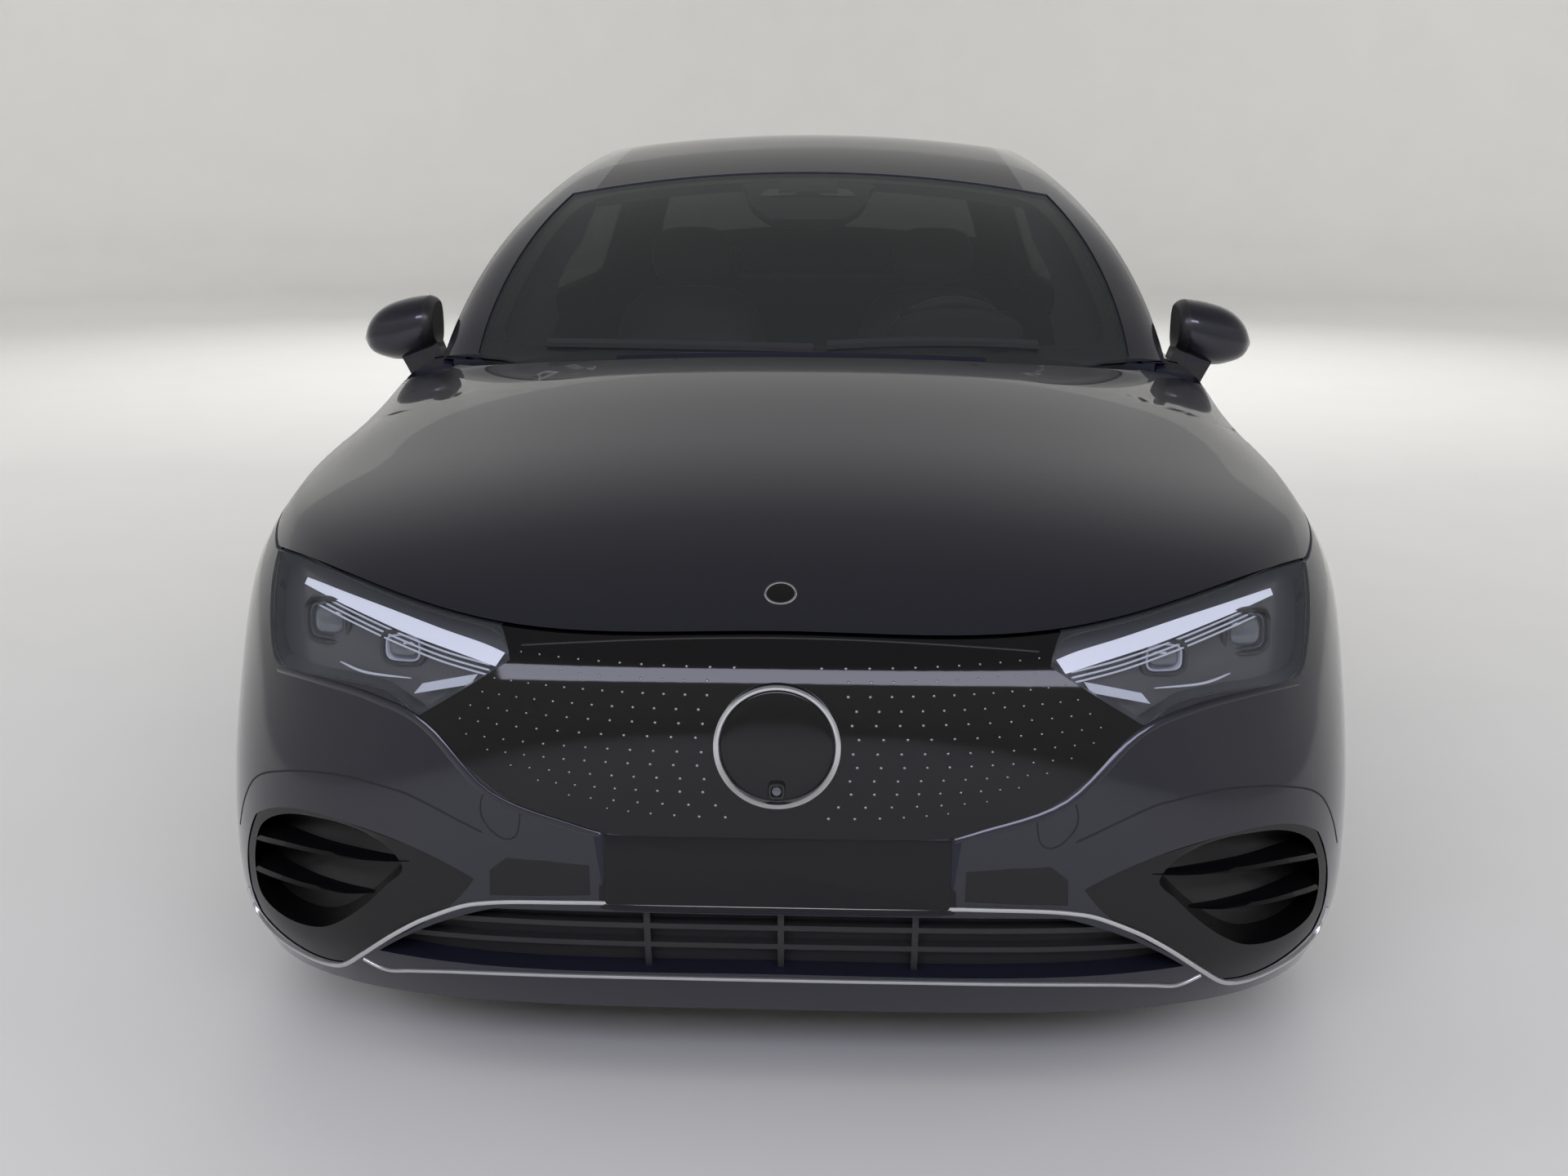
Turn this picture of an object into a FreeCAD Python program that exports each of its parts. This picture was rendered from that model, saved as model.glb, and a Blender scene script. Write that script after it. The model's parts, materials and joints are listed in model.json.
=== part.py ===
import FreeCAD, Part
import math
import os
import Sketcher
from FreeCAD import Placement, Rotation, Vector

# Electric executive sedan, full size. Millimetres, +Z up, nose towards -Y, the car's left side is +X.
# The origin is on the ground below the middle of the car.

doc = FreeCAD.newDocument("electric_sedan")

# Driving dimensions

SIZES = {
    "car_length": 4946,
    "car_width": 1906,
    "car_height": 1510,
    "wheelbase": 3120,
    "front_overhang": 858,
    "front_track": 1634,
    "rear_track": 1646,
    "nose_corner": 700,
    "tail_corner": 620,
    "tyre_diameter": 712,
    "tyre_width": 255,
    "tyre_shoulder": 22,
    "tyre_sidewall_swell": 12,
    "rim_diameter": 508,
    "rim_width": 232,
    "rim_wall": 14,
    "rim_face_depth": 26,
    "rim_face_inset": 14,
    "spoke_count": 10,
    "spoke_root_width": 46,
    "spoke_tip_width": 27,
    "hub_diameter": 150,
    "hub_bore": 66,
    "disc_diameter": 370,
    "disc_thickness": 32,
    "disc_hat_diameter": 190,
    "disc_hat_depth": 46,
    "arch_diameter": 800,
    "well_inner_half": 431,
    "rear_well_inner_half": 640,
    "shut_gap": 5,
    "seat_gap": 0.3,
    "door_inner_half": 790,
    "door_hinge_inboard": 45,
    "door_hinge_ahead": 60,
    "hinge_pin_diameter": 12,
    "hinge_arm_width": 16,
    "hinge_arm_height": 40,
    "door_hem": 3,
    "hinge_clearance": 0.3,
    "pillar_wall": 45,
    "glass_thickness": 5,
    "glass_inset": 3,
    "glass_flange": 12,
    "bonnet_wall": 30,
    "bonnet_pin_diameter": 7,
    "bumper_wall": 60,
    "panel_wall": 22,
    "lamp_depth": 120,
    "floor_height": 300,
    "boot_floor_height": 545,
    "boot_inner_half": 600,
    "battery_length": 2050,
    "battery_width": 1300,
    "battery_height": 125,
    "battery_bottom": 145,
    "plate_width": 520,
    "plate_height": 112,
    "plate_thickness": 6,
    "mirror_span": 2104,
    "mirror_reach": 180,
    "jack_pad_diameter": 64,
    "jack_pad_drop": 10,
    "steering_wheel_diameter": 370,
    "steering_wheel_grip": 30,
    "steering_wheel_side": 370,
    "cut_overrun": 400,
}

sheet = doc.addObject("Spreadsheet::Sheet", "sizes")
for row, (name, value) in enumerate(SIZES.items(), 1):
    sheet.set("A%d" % row, name)
    sheet.set("B%d" % row, str(value))
    sheet.setAlias("B%d" % row, name)
doc.recompute()


def size(name):
    return float(getattr(sheet, name))


LENGTH = size("car_length")
WIDTH = size("car_width")
HEIGHT = size("car_height")
HALF_WIDTH = WIDTH / 2
NOSE_Y = -LENGTH / 2
OVERRUN = size("cut_overrun")
GAP = size("shut_gap")
SEAT = size("seat_gap")
AXLE_Z = size("tyre_diameter") / 2
FRONT_AXLE = size("front_overhang")
REAR_AXLE = size("front_overhang") + size("wheelbase")
FRONT_WHEEL_X = size("front_track") / 2
REAR_WHEEL_X = size("rear_track") / 2

# Body form. Every table below is in shares: of the length behind the nose, of the width, of the height.

# height, nose setback, tail setback, narrowing at the front, narrowing from the doors back, nose squareness
LEVEL_SHARES = [
    (0.1060, 0.0101, 0.0182, 0.0131, 0.0210, 3.8),
    (0.1523, 0.0049, 0.0111, 0.0063, 0.0115, 3.9),
    (0.2185, 0.0016, 0.0060, 0.0031, 0.0052, 3.8),
    (0.2980, 0.0000, 0.0016, 0.0010, 0.0010, 3.4),
    (0.3974, 0.0004, 0.0000, 0.0000, 0.0000, 2.8),
    (0.4636, 0.0049, 0.0012, 0.0026, 0.0010, 2.6),
    (0.5166, 0.0162, 0.0044, 0.0105, 0.0037, 2.6),
    (0.5629, 0.0344, 0.0101, 0.0273, 0.0105, 2.6),
    (0.6093, 0.0586, 0.0172, 0.0525, 0.0241, 2.6),
    (0.6556, 0.0910, 0.0253, 0.0866, 0.0483, 2.6),
    (0.7020, 0.1294, 0.0364, 0.1260, 0.0813, 2.6),
    (0.7550, 0.1820, 0.0526, 0.1780, 0.1260, 2.6),
]
TAIL_SQUARENESS = 2.8
DOOR_BLEND_START_SHARE = 0.182
DOOR_BLEND_END_SHARE = 0.303

# place behind the nose, height of the centre line, drop at the shoulder
DECK_SHARES = [
    (-0.0200, 0.4570, 0.0400),
    (0.0000, 0.4890, 0.0400),
    (0.0162, 0.5110, 0.0410),
    (0.0404, 0.5480, 0.0450),
    (0.0809, 0.5930, 0.0500),
    (0.1415, 0.6320, 0.0556),
    (0.2022, 0.6620, 0.0556),
    (0.2628, 0.6780, 0.0477),
    (0.3437, 0.6830, 0.0364),
    (0.5055, 0.6920, 0.0330),
    (0.6470, 0.7120, 0.0400),
    (0.7480, 0.7420, 0.0500),
    (0.8290, 0.7735, 0.0730),
    (0.8755, 0.7815, 0.0860),
    (0.9100, 0.7616, 0.0730),
    (0.9400, 0.7440, 0.0560),
    (0.9644, 0.7340, 0.0430),
    (0.9826, 0.7230, 0.0400),
    (1.0200, 0.6950, 0.0400),
]
DECK_CROWN_POWER = 2.2
DECK_CROWN_REACH_SHARE = 0.446

# place behind the nose, height of the centre line, drop at the roof's side
ROOF_SHARES = [
    (0.2020, 0.5695, 0.0460),
    (0.2325, 0.6260, 0.0440),
    (0.2568, 0.6690, 0.0400),
    (0.2830, 0.7185, 0.0380),
    (0.3235, 0.7850, 0.0360),
    (0.3640, 0.8410, 0.0330),
    (0.4040, 0.8875, 0.0310),
    (0.4450, 0.9260, 0.0300),
    (0.4850, 0.9565, 0.0285),
    (0.5257, 0.9800, 0.0280),
    (0.5760, 0.9985, 0.0280),
    (0.6270, 0.9980, 0.0280),
    (0.6670, 0.9900, 0.0285),
    (0.7077, 0.9755, 0.0290),
    (0.7480, 0.9536, 0.0300),
    (0.7885, 0.9205, 0.0310),
    (0.8290, 0.8690, 0.0330),
    (0.8755, 0.7830, 0.0365),
    (0.9100, 0.7086, 0.0400),
]
ROOF_CROWN_REACH_SHARE = 0.315

# place behind the nose, half width of the cabin at the belt
BELT_SHARES = [
    (0.1820, 0.3360),
    (0.2630, 0.4145),
    (0.3235, 0.4397),
    (0.4040, 0.4500),
    (0.5660, 0.4554),
    (0.6874, 0.4470),
    (0.7885, 0.4224),
    (0.8755, 0.3856),
    (0.9500, 0.3460),
]
BELT_HEIGHT_SHARE = 0.649
SIDE_LEAN_SHARE = 0.2341
SIDE_CURL_SHARE = 2.034
CORNER_STEPS = 8
FLANK_STEPS = 12


def natural_spline(table, column):
    """Smooth curve through the table's points, returned as a function."""
    places = [line[0] for line in table]
    values = [line[column] for line in table]
    count = len(places)
    steps = [places[i + 1] - places[i] for i in range(count - 1)]
    lower = [1.0] * count
    ratio = [0.0] * count
    right = [0.0] * count
    bend = [0.0] * count
    for i in range(1, count - 1):
        rise = (values[i + 1] - values[i]) / steps[i] - (values[i] - values[i - 1]) / steps[i - 1]
        lower[i] = 2 * (places[i + 1] - places[i - 1]) - steps[i - 1] * ratio[i - 1]
        ratio[i] = steps[i] / lower[i]
        right[i] = (3 * rise - steps[i - 1] * right[i - 1]) / lower[i]
    for i in range(count - 2, -1, -1):
        bend[i] = right[i] - ratio[i] * bend[i + 1]

    def piece(i):
        slope = (values[i + 1] - values[i]) / steps[i] - steps[i] * (bend[i + 1] + 2 * bend[i]) / 3
        return slope, (bend[i + 1] - bend[i]) / (3 * steps[i])

    def value(at):
        if at <= places[0]:
            slope, _ = piece(0)
            return values[0] + slope * (at - places[0])
        i = 0
        while i < count - 2 and at > places[i + 1]:
            i += 1
        slope, twist = piece(i)
        run = min(at, places[-1]) - places[i]
        height = values[i] + slope * run + bend[i] * run ** 2 + twist * run ** 3
        if at > places[-1]:
            end_slope = slope + 2 * bend[i] * run + 3 * twist * run ** 2
            height += end_slope * (at - places[-1])
        return height

    return value


level_nose = natural_spline(LEVEL_SHARES, 1)
level_tail = natural_spline(LEVEL_SHARES, 2)
level_front_narrowing = natural_spline(LEVEL_SHARES, 3)
level_door_narrowing = natural_spline(LEVEL_SHARES, 4)
level_squareness = natural_spline(LEVEL_SHARES, 5)
deck_height = natural_spline(DECK_SHARES, 1)
deck_drop = natural_spline(DECK_SHARES, 2)
roof_height = natural_spline(ROOF_SHARES, 1)
roof_drop = natural_spline(ROOF_SHARES, 2)
belt_half = natural_spline(BELT_SHARES, 1)


def at_point(across, behind, height):
    """A point from its place across the car, behind the nose and above the ground."""
    return Vector(across, NOSE_Y + behind, height)


def deck_z(across, behind):
    reach = DECK_CROWN_REACH_SHARE * WIDTH
    place = behind / LENGTH
    crown = (abs(across) / reach) ** DECK_CROWN_POWER
    return HEIGHT * (deck_height(place) - deck_drop(place) * crown)


def roof_z(across, behind):
    reach = ROOF_CROWN_REACH_SHARE * WIDTH
    place = behind / LENGTH
    return HEIGHT * (roof_height(place) - roof_drop(place) * (across / reach) ** 2)


def cabin_x(behind, height):
    above = height / HEIGHT - BELT_HEIGHT_SHARE
    lean = SIDE_LEAN_SHARE * above + SIDE_CURL_SHARE * above ** 3
    return WIDTH * (belt_half(behind / LENGTH) - lean)


def flank_half(behind, height):
    """Half width of the lower body between its corners, from the front wings' to the doors'."""
    share = height / HEIGHT
    blend = (behind / LENGTH - DOOR_BLEND_START_SHARE) / (DOOR_BLEND_END_SHARE - DOOR_BLEND_START_SHARE)
    blend = max(0.0, min(1.0, blend))
    blend = blend * blend * (3 - 2 * blend)
    narrowing = level_front_narrowing(share) * (1 - blend) + level_door_narrowing(share) * blend
    return HALF_WIDTH - WIDTH * narrowing


def plan_outline(height, inset):
    """Closed outline of the lower body at one height, as points from the tail round the car's left side."""
    share = height / HEIGHT
    nose = LENGTH * level_nose(share) + inset
    tail = LENGTH * (1 - level_tail(share)) - inset
    front_half = HALF_WIDTH - WIDTH * level_front_narrowing(share) - inset
    door_half = HALF_WIDTH - WIDTH * level_door_narrowing(share) - inset
    nose_corner = size("nose_corner")
    tail_corner = size("tail_corner")
    nose_power = level_squareness(share)
    side = []
    for i in range(CORNER_STEPS + 1):
        turn = 0.5 * math.pi * i / CORNER_STEPS
        radius = (math.sin(turn) ** TAIL_SQUARENESS + math.cos(turn) ** TAIL_SQUARENESS) ** (-1 / TAIL_SQUARENESS)
        side.append((door_half * radius * math.sin(turn), tail - tail_corner * (1 - radius * math.cos(turn))))
    flank_end = tail - tail_corner
    flank_start = nose + nose_corner
    for i in range(1, FLANK_STEPS):
        behind = flank_end + (flank_start - flank_end) * i / FLANK_STEPS
        side.append((flank_half(behind, height) - inset, behind))
    for i in range(CORNER_STEPS, -1, -1):
        turn = 0.5 * math.pi * i / CORNER_STEPS
        radius = (math.sin(turn) ** nose_power + math.cos(turn) ** nose_power) ** (-1 / nose_power)
        side.append((front_half * radius * math.sin(turn), nose + nose_corner * (1 - radius * math.cos(turn))))
    mirrored = [(-across, behind) for across, behind in reversed(side[1:-1])]
    return [at_point(across, behind, height) for across, behind in side + mirrored]


def lower_ring(inset):
    """The car's side all round, from the sills to above the shoulders, as one loft through plan outlines."""
    wires = []
    for level in LEVEL_SHARES:
        points = plan_outline(level[0] * HEIGHT, inset)
        curve = Part.BSplineCurve()
        marks = [i / len(points) for i in range(len(points) + 1)]
        curve.interpolate(Points=points, Parameters=marks, PeriodicFlag=True)
        wires.append(Part.Wire(curve.toShape()))
    return Part.makeLoft(wires, True, False)


def height_field(surface_z, places, acrosses, drop):
    """A solid that reaches from far below up to a crowned surface."""
    grid = [[at_point(x, s, surface_z(x, s) - drop) for x in acrosses] for s in places]
    surface = Part.BSplineSurface()
    surface.interpolate(grid)
    return surface.toShape().extrude(Vector(0, 0, -2 * HEIGHT))


def spread(first, last, count):
    return [first + (last - first) * i / (count - 1) for i in range(count)]


DECK_PLACE_COUNT = 27
ROOF_PLACE_COUNT = 25
ACROSS_COUNT = 11
SIDE_LEVEL_COUNT = 9


FORMS = {}


def lower_body(inset):
    """The body below the glass, with its walls stepped inwards; each step is made once."""
    key = ("lower", inset)
    if key not in FORMS:
        FORMS[key] = make_lower_body(inset)
    return FORMS[key]


def greenhouse(inset):
    """The cabin above the belt, with its walls stepped inwards; each step is made once."""
    key = ("cabin", inset)
    if key not in FORMS:
        FORMS[key] = make_greenhouse(inset)
    return FORMS[key]


def make_lower_body(inset):
    acrosses = spread(-0.56 * WIDTH, 0.56 * WIDTH, ACROSS_COUNT)
    places = spread(-0.02 * LENGTH, 1.02 * LENGTH, DECK_PLACE_COUNT)
    return lower_ring(inset).common(height_field(deck_z, places, acrosses, inset))


def make_greenhouse(inset):
    """Windscreen, roof and rear window as one arc, between two leaning sides."""
    acrosses = spread(-0.5 * WIDTH, 0.5 * WIDTH, ACROSS_COUNT)
    places = spread(0.215 * LENGTH, 0.9 * LENGTH, ROOF_PLACE_COUNT)
    solid = height_field(roof_z, places, acrosses, inset)
    levels = spread(0.5 * HEIGHT, 1.06 * HEIGHT, SIDE_LEVEL_COUNT)
    for sign in (1, -1):
        grid = [[at_point(sign * (cabin_x(s, z) - inset), s, z) for z in levels] for s in places]
        surface = Part.BSplineSurface()
        surface.interpolate(grid)
        solid = solid.common(surface.toShape().extrude(Vector(-sign * 2 * WIDTH, 0, 0)))
    floor = Part.makeBox(WIDTH * 2, LENGTH, HEIGHT, at_point(-WIDTH, 0, GREENHOUSE_FLOOR_SHARE * HEIGHT))
    return solid.common(floor)


GREENHOUSE_FLOOR_SHARE = 0.57


def outline_wire(runs, place):
    """A closed wire from runs of points: two points make a line, more make a smooth curve."""
    edges = []
    for run in runs:
        points = [place(*point) for point in run]
        if len(points) == 2:
            edges.append(Part.makeLine(points[0], points[1]))
        else:
            curve = Part.BSplineCurve()
            curve.interpolate(Points=points)
            edges.append(curve.toShape())
    return Part.Wire(edges)


def open_runs(points):
    return [[points[i], points[i + 1]] for i in range(len(points) - 1)]


def closed_runs(points):
    return open_runs(points + points[:1])


def front_prism(runs, first, last):
    """Cut body from an outline seen from the front: shares of the half width and of the height."""
    def place(across, height):
        return at_point(across * HALF_WIDTH, first, height * HEIGHT)
    return Part.Face(outline_wire(runs, place)).extrude(Vector(0, last - first, 0))


def side_prism(runs, low, high, slant=0.0):
    """Cut body from an outline seen from the side: shares of the length and of the height.
    With a slant, its walls run forwards as they go inwards, as a door's shut faces do."""
    shift = slant * (HALF_WIDTH - low)
    def place(behind, height):
        return at_point(low, behind * LENGTH - shift, height * HEIGHT)
    return Part.Face(outline_wire(runs, place)).extrude(Vector(high - low, slant * (high - low), 0))


def plan_prism(runs, low, high):
    """Cut body from an outline seen from above: shares of the half width and of the length."""
    def place(across, behind):
        return at_point(across * HALF_WIDTH, behind * LENGTH, low)
    return Part.Face(outline_wire(runs, place)).extrude(Vector(0, 0, high - low))


def block(x0, x1, s0, s1, z0, z1):
    return Part.makeBox(x1 - x0, s1 - s0, z1 - z0, at_point(x0, s0, z0))


def cylinder_x(radius, x0, x1, behind, height):
    return Part.makeCylinder(radius, x1 - x0, at_point(x0, behind, height), Vector(1, 0, 0))


def tube_between(start, end, radius):
    return Part.makeCylinder(radius, start.distanceToPoint(end), start, end - start)


def mirrored(shape):
    return shape.mirror(Vector(0, 0, 0), Vector(1, 0, 0))


def keep_solids(shape):
    """One solid as it is, several as a compound."""
    solids = shape.Solids
    return solids[0] if len(solids) == 1 else Part.makeCompound(solids)


def largest_solid(shape):
    """The main solid, without the slivers that crossing cuts can leave."""
    return max(shape.Solids, key=lambda solid: solid.Volume)


NODES = []


def add_node(label, shape):
    feature = doc.addObject("Part::Feature", label)
    feature.Label = label
    feature.Shape = keep_solids(shape)
    NODES.append(feature)
    return feature


def add_object(label, feature):
    feature.Label = label
    NODES.append(feature)
    return feature


# Whole outer form, and the same form stepped inwards by a wall

outer_lower = lower_body(0)
outer_cabin = greenhouse(0)
outer = outer_lower.fuse(outer_cabin).removeSplitter()

lamp_core = lower_body(size("lamp_depth"))
bumper_core = lower_body(size("bumper_wall"))
bonnet_core = lower_body(size("bonnet_wall"))
panel_core = lower_body(size("panel_wall"))
cabin_inside = greenhouse(size("pillar_wall"))

# Outlines that neighbours share

# the bonnet's edge seen from the front, from the car's middle to its side
BONNET_FRONT_SHARES = [(0.0, 0.5035), (0.42, 0.5030), (0.587, 0.5160), (0.75, 0.5290), (0.88, 0.5265)]
# the bonnet's edge seen from the side, from the lamp's top corner to the back
BONNET_SIDE_SHARES = [(0.079, 0.5250), (0.12, 0.5430), (0.174, 0.5570), (0.225, 0.5700), (0.290, 0.5900)]
# the bonnet's back edge seen from above, from the middle outwards
BONNET_BACK_SHARES = [(0.0, 0.2426), (0.42, 0.2500), (0.70, 0.2680), (0.84, 0.2830)]
BONNET_CORNER_SHARES = (0.93, 0.2665)
# room behind the bonnet's back edge on one side, for its swing
SWING_SHARES = [
    (0.48, 0.2520), (0.70, 0.2665), (0.845, 0.2805), (0.845, 0.2865), (0.79, 0.2840), (0.70, 0.2772), (0.62, 0.2680),
    (0.48, 0.2572)]


def offset_curve(points, shift_u, shift_v):
    return [(u + shift_u, v + shift_v) for u, v in points]


def both_sides(points):
    """Points from the middle outwards, joined with their mirror image."""
    return [(-u, v) for u, v in reversed(points[1:])] + points


def bonnet_region(lift):
    """All that lies above the bonnet's edge and ahead of its back edge; lift moves the edge inwards."""
    rise = lift / HEIGHT
    front = both_sides(offset_curve(BONNET_FRONT_SHARES, 0, rise))
    side = 1.3
    runs = [
        front,
        [front[-1], (side, front[-1][1])],
        [(side, front[-1][1]), (side, 1.0)],
        [(side, 1.0), (-side, 1.0)],
        [(-side, 1.0), (-side, front[0][1])],
        [(-side, front[0][1]), front[0]],
    ]
    seen_from_front = front_prism(runs, -OVERRUN, 0.4 * LENGTH)
    edge = offset_curve(BONNET_SIDE_SHARES, 0, rise)
    low = 0.3
    runs = [
        edge,
        [edge[-1], (0.35, edge[-1][1])],
        [(0.35, edge[-1][1]), (0.35, 1.0)],
        [(0.35, 1.0), (-0.1, 1.0)],
        [(-0.1, 1.0), (-0.1, low)],
        [(-0.1, low), (edge[0][0], low)],
        [(edge[0][0], low), edge[0]],
    ]
    seen_from_side = side_prism(runs, -WIDTH, WIDTH)
    setback = 2 * lift / LENGTH
    back = both_sides(offset_curve(BONNET_BACK_SHARES, 0, -setback))
    corner = (BONNET_CORNER_SHARES[0], BONNET_CORNER_SHARES[1] - setback)
    ahead = -0.1
    runs = [back] + open_runs([
        back[-1],
        corner,
        (side, corner[1]),
        (side, ahead),
        (-side, ahead),
        (-side, corner[1]),
        (-corner[0], corner[1]),
        back[0],
    ])
    seen_from_above = plan_prism(runs, 0, 2 * HEIGHT)
    return seen_from_front.common(seen_from_side).common(seen_from_above)


bonnet_zone_wide = bonnet_region(-GAP)

# headlamp on the car's left, seen from the front
HEADLAMP_SHARES = [
    [(0.882, 0.5290), (0.830, 0.5390), (0.721, 0.5350), (0.624, 0.5260), (0.533, 0.5190), (0.441, 0.5120)],
    [(0.441, 0.5120), (0.416, 0.4900), (0.407, 0.4720)],
    [(0.407, 0.4720), (0.550, 0.4150)],
    [(0.550, 0.4150), (0.571, 0.4165), (0.592, 0.4265), (0.644, 0.4340), (0.742, 0.4325), (0.810, 0.4310)],
    [(0.810, 0.4310), (0.838, 0.4350), (0.849, 0.4470), (0.866, 0.4820), (0.876, 0.5080), (0.882, 0.5290)],
]
# black front panel, the car's left half, from its top middle
PANEL_TOP_SHARES = [(0.0, 0.5120), (0.20, 0.5120), (0.46, 0.5120)]
PANEL_SIDE_SHARES = [(0.440, 0.4700), (0.560, 0.4150), (0.543, 0.4100)]
PANEL_LOW_SHARES = [(0.543, 0.4100), (0.490, 0.3800), (0.390, 0.3340), (0.276, 0.3130), (0.0, 0.3090)]
# side intake on the car's left
INTAKE_SHARES = [
    [(0.470, 0.2560), (0.560, 0.2830), (0.700, 0.3010), (0.800, 0.2980), (0.868, 0.2760)],
    [(0.868, 0.2760), (0.895, 0.2350), (0.897, 0.1850), (0.880, 0.1580)],
    [(0.880, 0.1580), (0.810, 0.1360), (0.745, 0.1300), (0.690, 0.1400)],
    [(0.690, 0.1400), (0.600, 0.1850), (0.520, 0.2200), (0.470, 0.2560)],
]
# lower grille, the car's left half
GRILLE_TOP_SHARES = [(0.0, 0.2260), (0.25, 0.2260), (0.44, 0.2250)]
GRILLE_SIDE_SHARES = [(0.44, 0.2250), (0.53, 0.2050), (0.64, 0.1620)]
GRILLE_LOW_SHARES = [(0.64, 0.1620), (0.45, 0.1560), (0.0, 0.1560)]


def mirrored_runs(runs):
    return [[(-u, v) for u, v in run] for run in runs]


def grown_runs(runs, change, wide, high):
    """Closed runs moved outwards by a few millimetres, square to their line; wide and high are their units."""
    corners = [(u * wide, v * high) for run in runs for u, v in run[:-1]]
    count = len(corners)
    turn = sum(corners[i - 1][0] * corners[i][1] - corners[i][0] * corners[i - 1][1] for i in range(count))
    outwards = change if turn > 0 else -change
    moved = []
    for i in range(count):
        here = Vector(corners[i][0], corners[i][1], 0)
        before = here - Vector(corners[i - 1][0], corners[i - 1][1], 0)
        after = Vector(corners[(i + 1) % count][0], corners[(i + 1) % count][1], 0) - here
        before.normalize()
        after.normalize()
        both = before + after
        place = here + Vector(both.y, -both.x, 0) * (outwards / (1 + before.dot(after)))
        moved.append((place.x / wide, place.y / high))
    grown = []
    start = 0
    for run in runs:
        grown.append([moved[(start + i) % count] for i in range(len(run))])
        start += len(run) - 1
    return grown


def panel_runs():
    top = both_sides(PANEL_TOP_SHARES)
    low = PANEL_LOW_SHARES + [(-u, v) for u, v in reversed(PANEL_LOW_SHARES[:-1])]
    side = PANEL_SIDE_SHARES
    left = [(-u, v) for u, v in side]
    return [top] + open_runs([top[-1]] + side) + [low] + open_runs(list(reversed(left)) + [top[0]])


def grille_runs():
    top = both_sides(GRILLE_TOP_SHARES)
    low = GRILLE_LOW_SHARES + [(-u, v) for u, v in reversed(GRILLE_LOW_SHARES[:-1])]
    side = GRILLE_SIDE_SHARES
    left = [(-u, v) for u, v in reversed(side)]
    return [top, side, low, left]


NOSE_REACH = 0.16 * LENGTH


def nose_prism(runs):
    return front_prism(runs, -OVERRUN, NOSE_REACH)


lamp_prism = nose_prism(HEADLAMP_SHARES)
lamp_prism_small = nose_prism(grown_runs(HEADLAMP_SHARES, -SEAT, HALF_WIDTH, HEIGHT))
panel_prism = nose_prism(panel_runs())
panel_prism_small = nose_prism(grown_runs(panel_runs(), -SEAT, HALF_WIDTH, HEIGHT))
intake_prism = nose_prism(INTAKE_SHARES)
intake_prism_small = nose_prism(grown_runs(INTAKE_SHARES, -SEAT, HALF_WIDTH, HEIGHT))
grille_prism = nose_prism(grille_runs())
grille_prism_small = nose_prism(grown_runs(grille_runs(), -SEAT, HALF_WIDTH, HEIGHT))



# Wheel wells

def wheel_well(wheel_x, behind, inner):
    radius = size("arch_diameter") / 2
    return cylinder_x(radius, inner, WIDTH, behind, AXLE_Z)


front_well = wheel_well(FRONT_WHEEL_X, FRONT_AXLE, size("well_inner_half"))
rear_well = wheel_well(REAR_WHEEL_X, REAR_AXLE, size("rear_well_inner_half"))
wells = [front_well, rear_well, mirrored(front_well), mirrored(rear_well)]

# Doors and their windows, seen from the side at the widest place: the car's left

DOOR_SLANT = 0.27
FRONT_DOOR_TOP_SHARES = [
    (0.2891, 0.6457), (0.3316, 0.7033), (0.3734, 0.7649), (0.4151, 0.8192), (0.4581, 0.8656), (0.5166, 0.9126),
]
FRONT_DOOR_SHARES = [
    (0.5166, 0.9126), (0.5014, 0.6556), (0.4966, 0.5629), (0.4966, 0.1987), (0.2699, 0.1987), (0.2699, 0.6159),
    (0.2891, 0.6457),
]
REAR_DOOR_TOP_SHARES = [(0.5178, 0.9133), (0.5560, 0.9390), (0.5952, 0.9500), (0.6866, 0.9430), (0.7461, 0.9272)]
REAR_DOOR_BACK_SHARES = [
    (0.7461, 0.9272), (0.7663, 0.8874), (0.7804, 0.8212), (0.7829, 0.7417), (0.7800, 0.6887), (0.7707, 0.5960),
    (0.7572, 0.5033), (0.7360, 0.4238), (0.7202, 0.3444), (0.7141, 0.2649), (0.7131, 0.1987),
]
REAR_DOOR_SHARES = [(0.7131, 0.1987), (0.4978, 0.1987), (0.4978, 0.5629), (0.5026, 0.6556), (0.5178, 0.9133)]
FRONT_WINDOW_SHARES = [
    [(0.3134, 0.6600), (0.3417, 0.6954), (0.3761, 0.7444), (0.4165, 0.7987), (0.4590, 0.8457), (0.5049, 0.8834)],
    [(0.5049, 0.8834), (0.4921, 0.6690)],
    [(0.4921, 0.6690), (0.3134, 0.6600)],
]
REAR_WINDOW_SHARES = [
    [(0.5146, 0.6700), (0.7620, 0.6900)],
    [(0.7620, 0.6900), (0.7683, 0.7351), (0.7632, 0.8079), (0.7481, 0.8675), (0.7279, 0.9007)],
    [(0.7279, 0.9007), (0.6866, 0.9185), (0.5952, 0.9265), (0.5600, 0.9180), (0.5287, 0.8940)],
    [(0.5287, 0.8940), (0.5146, 0.6700)],
]


def front_door_runs():
    return [FRONT_DOOR_TOP_SHARES] + open_runs(FRONT_DOOR_SHARES)


def rear_door_runs():
    return [REAR_DOOR_TOP_SHARES, REAR_DOOR_BACK_SHARES] + open_runs(REAR_DOOR_SHARES)


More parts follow.
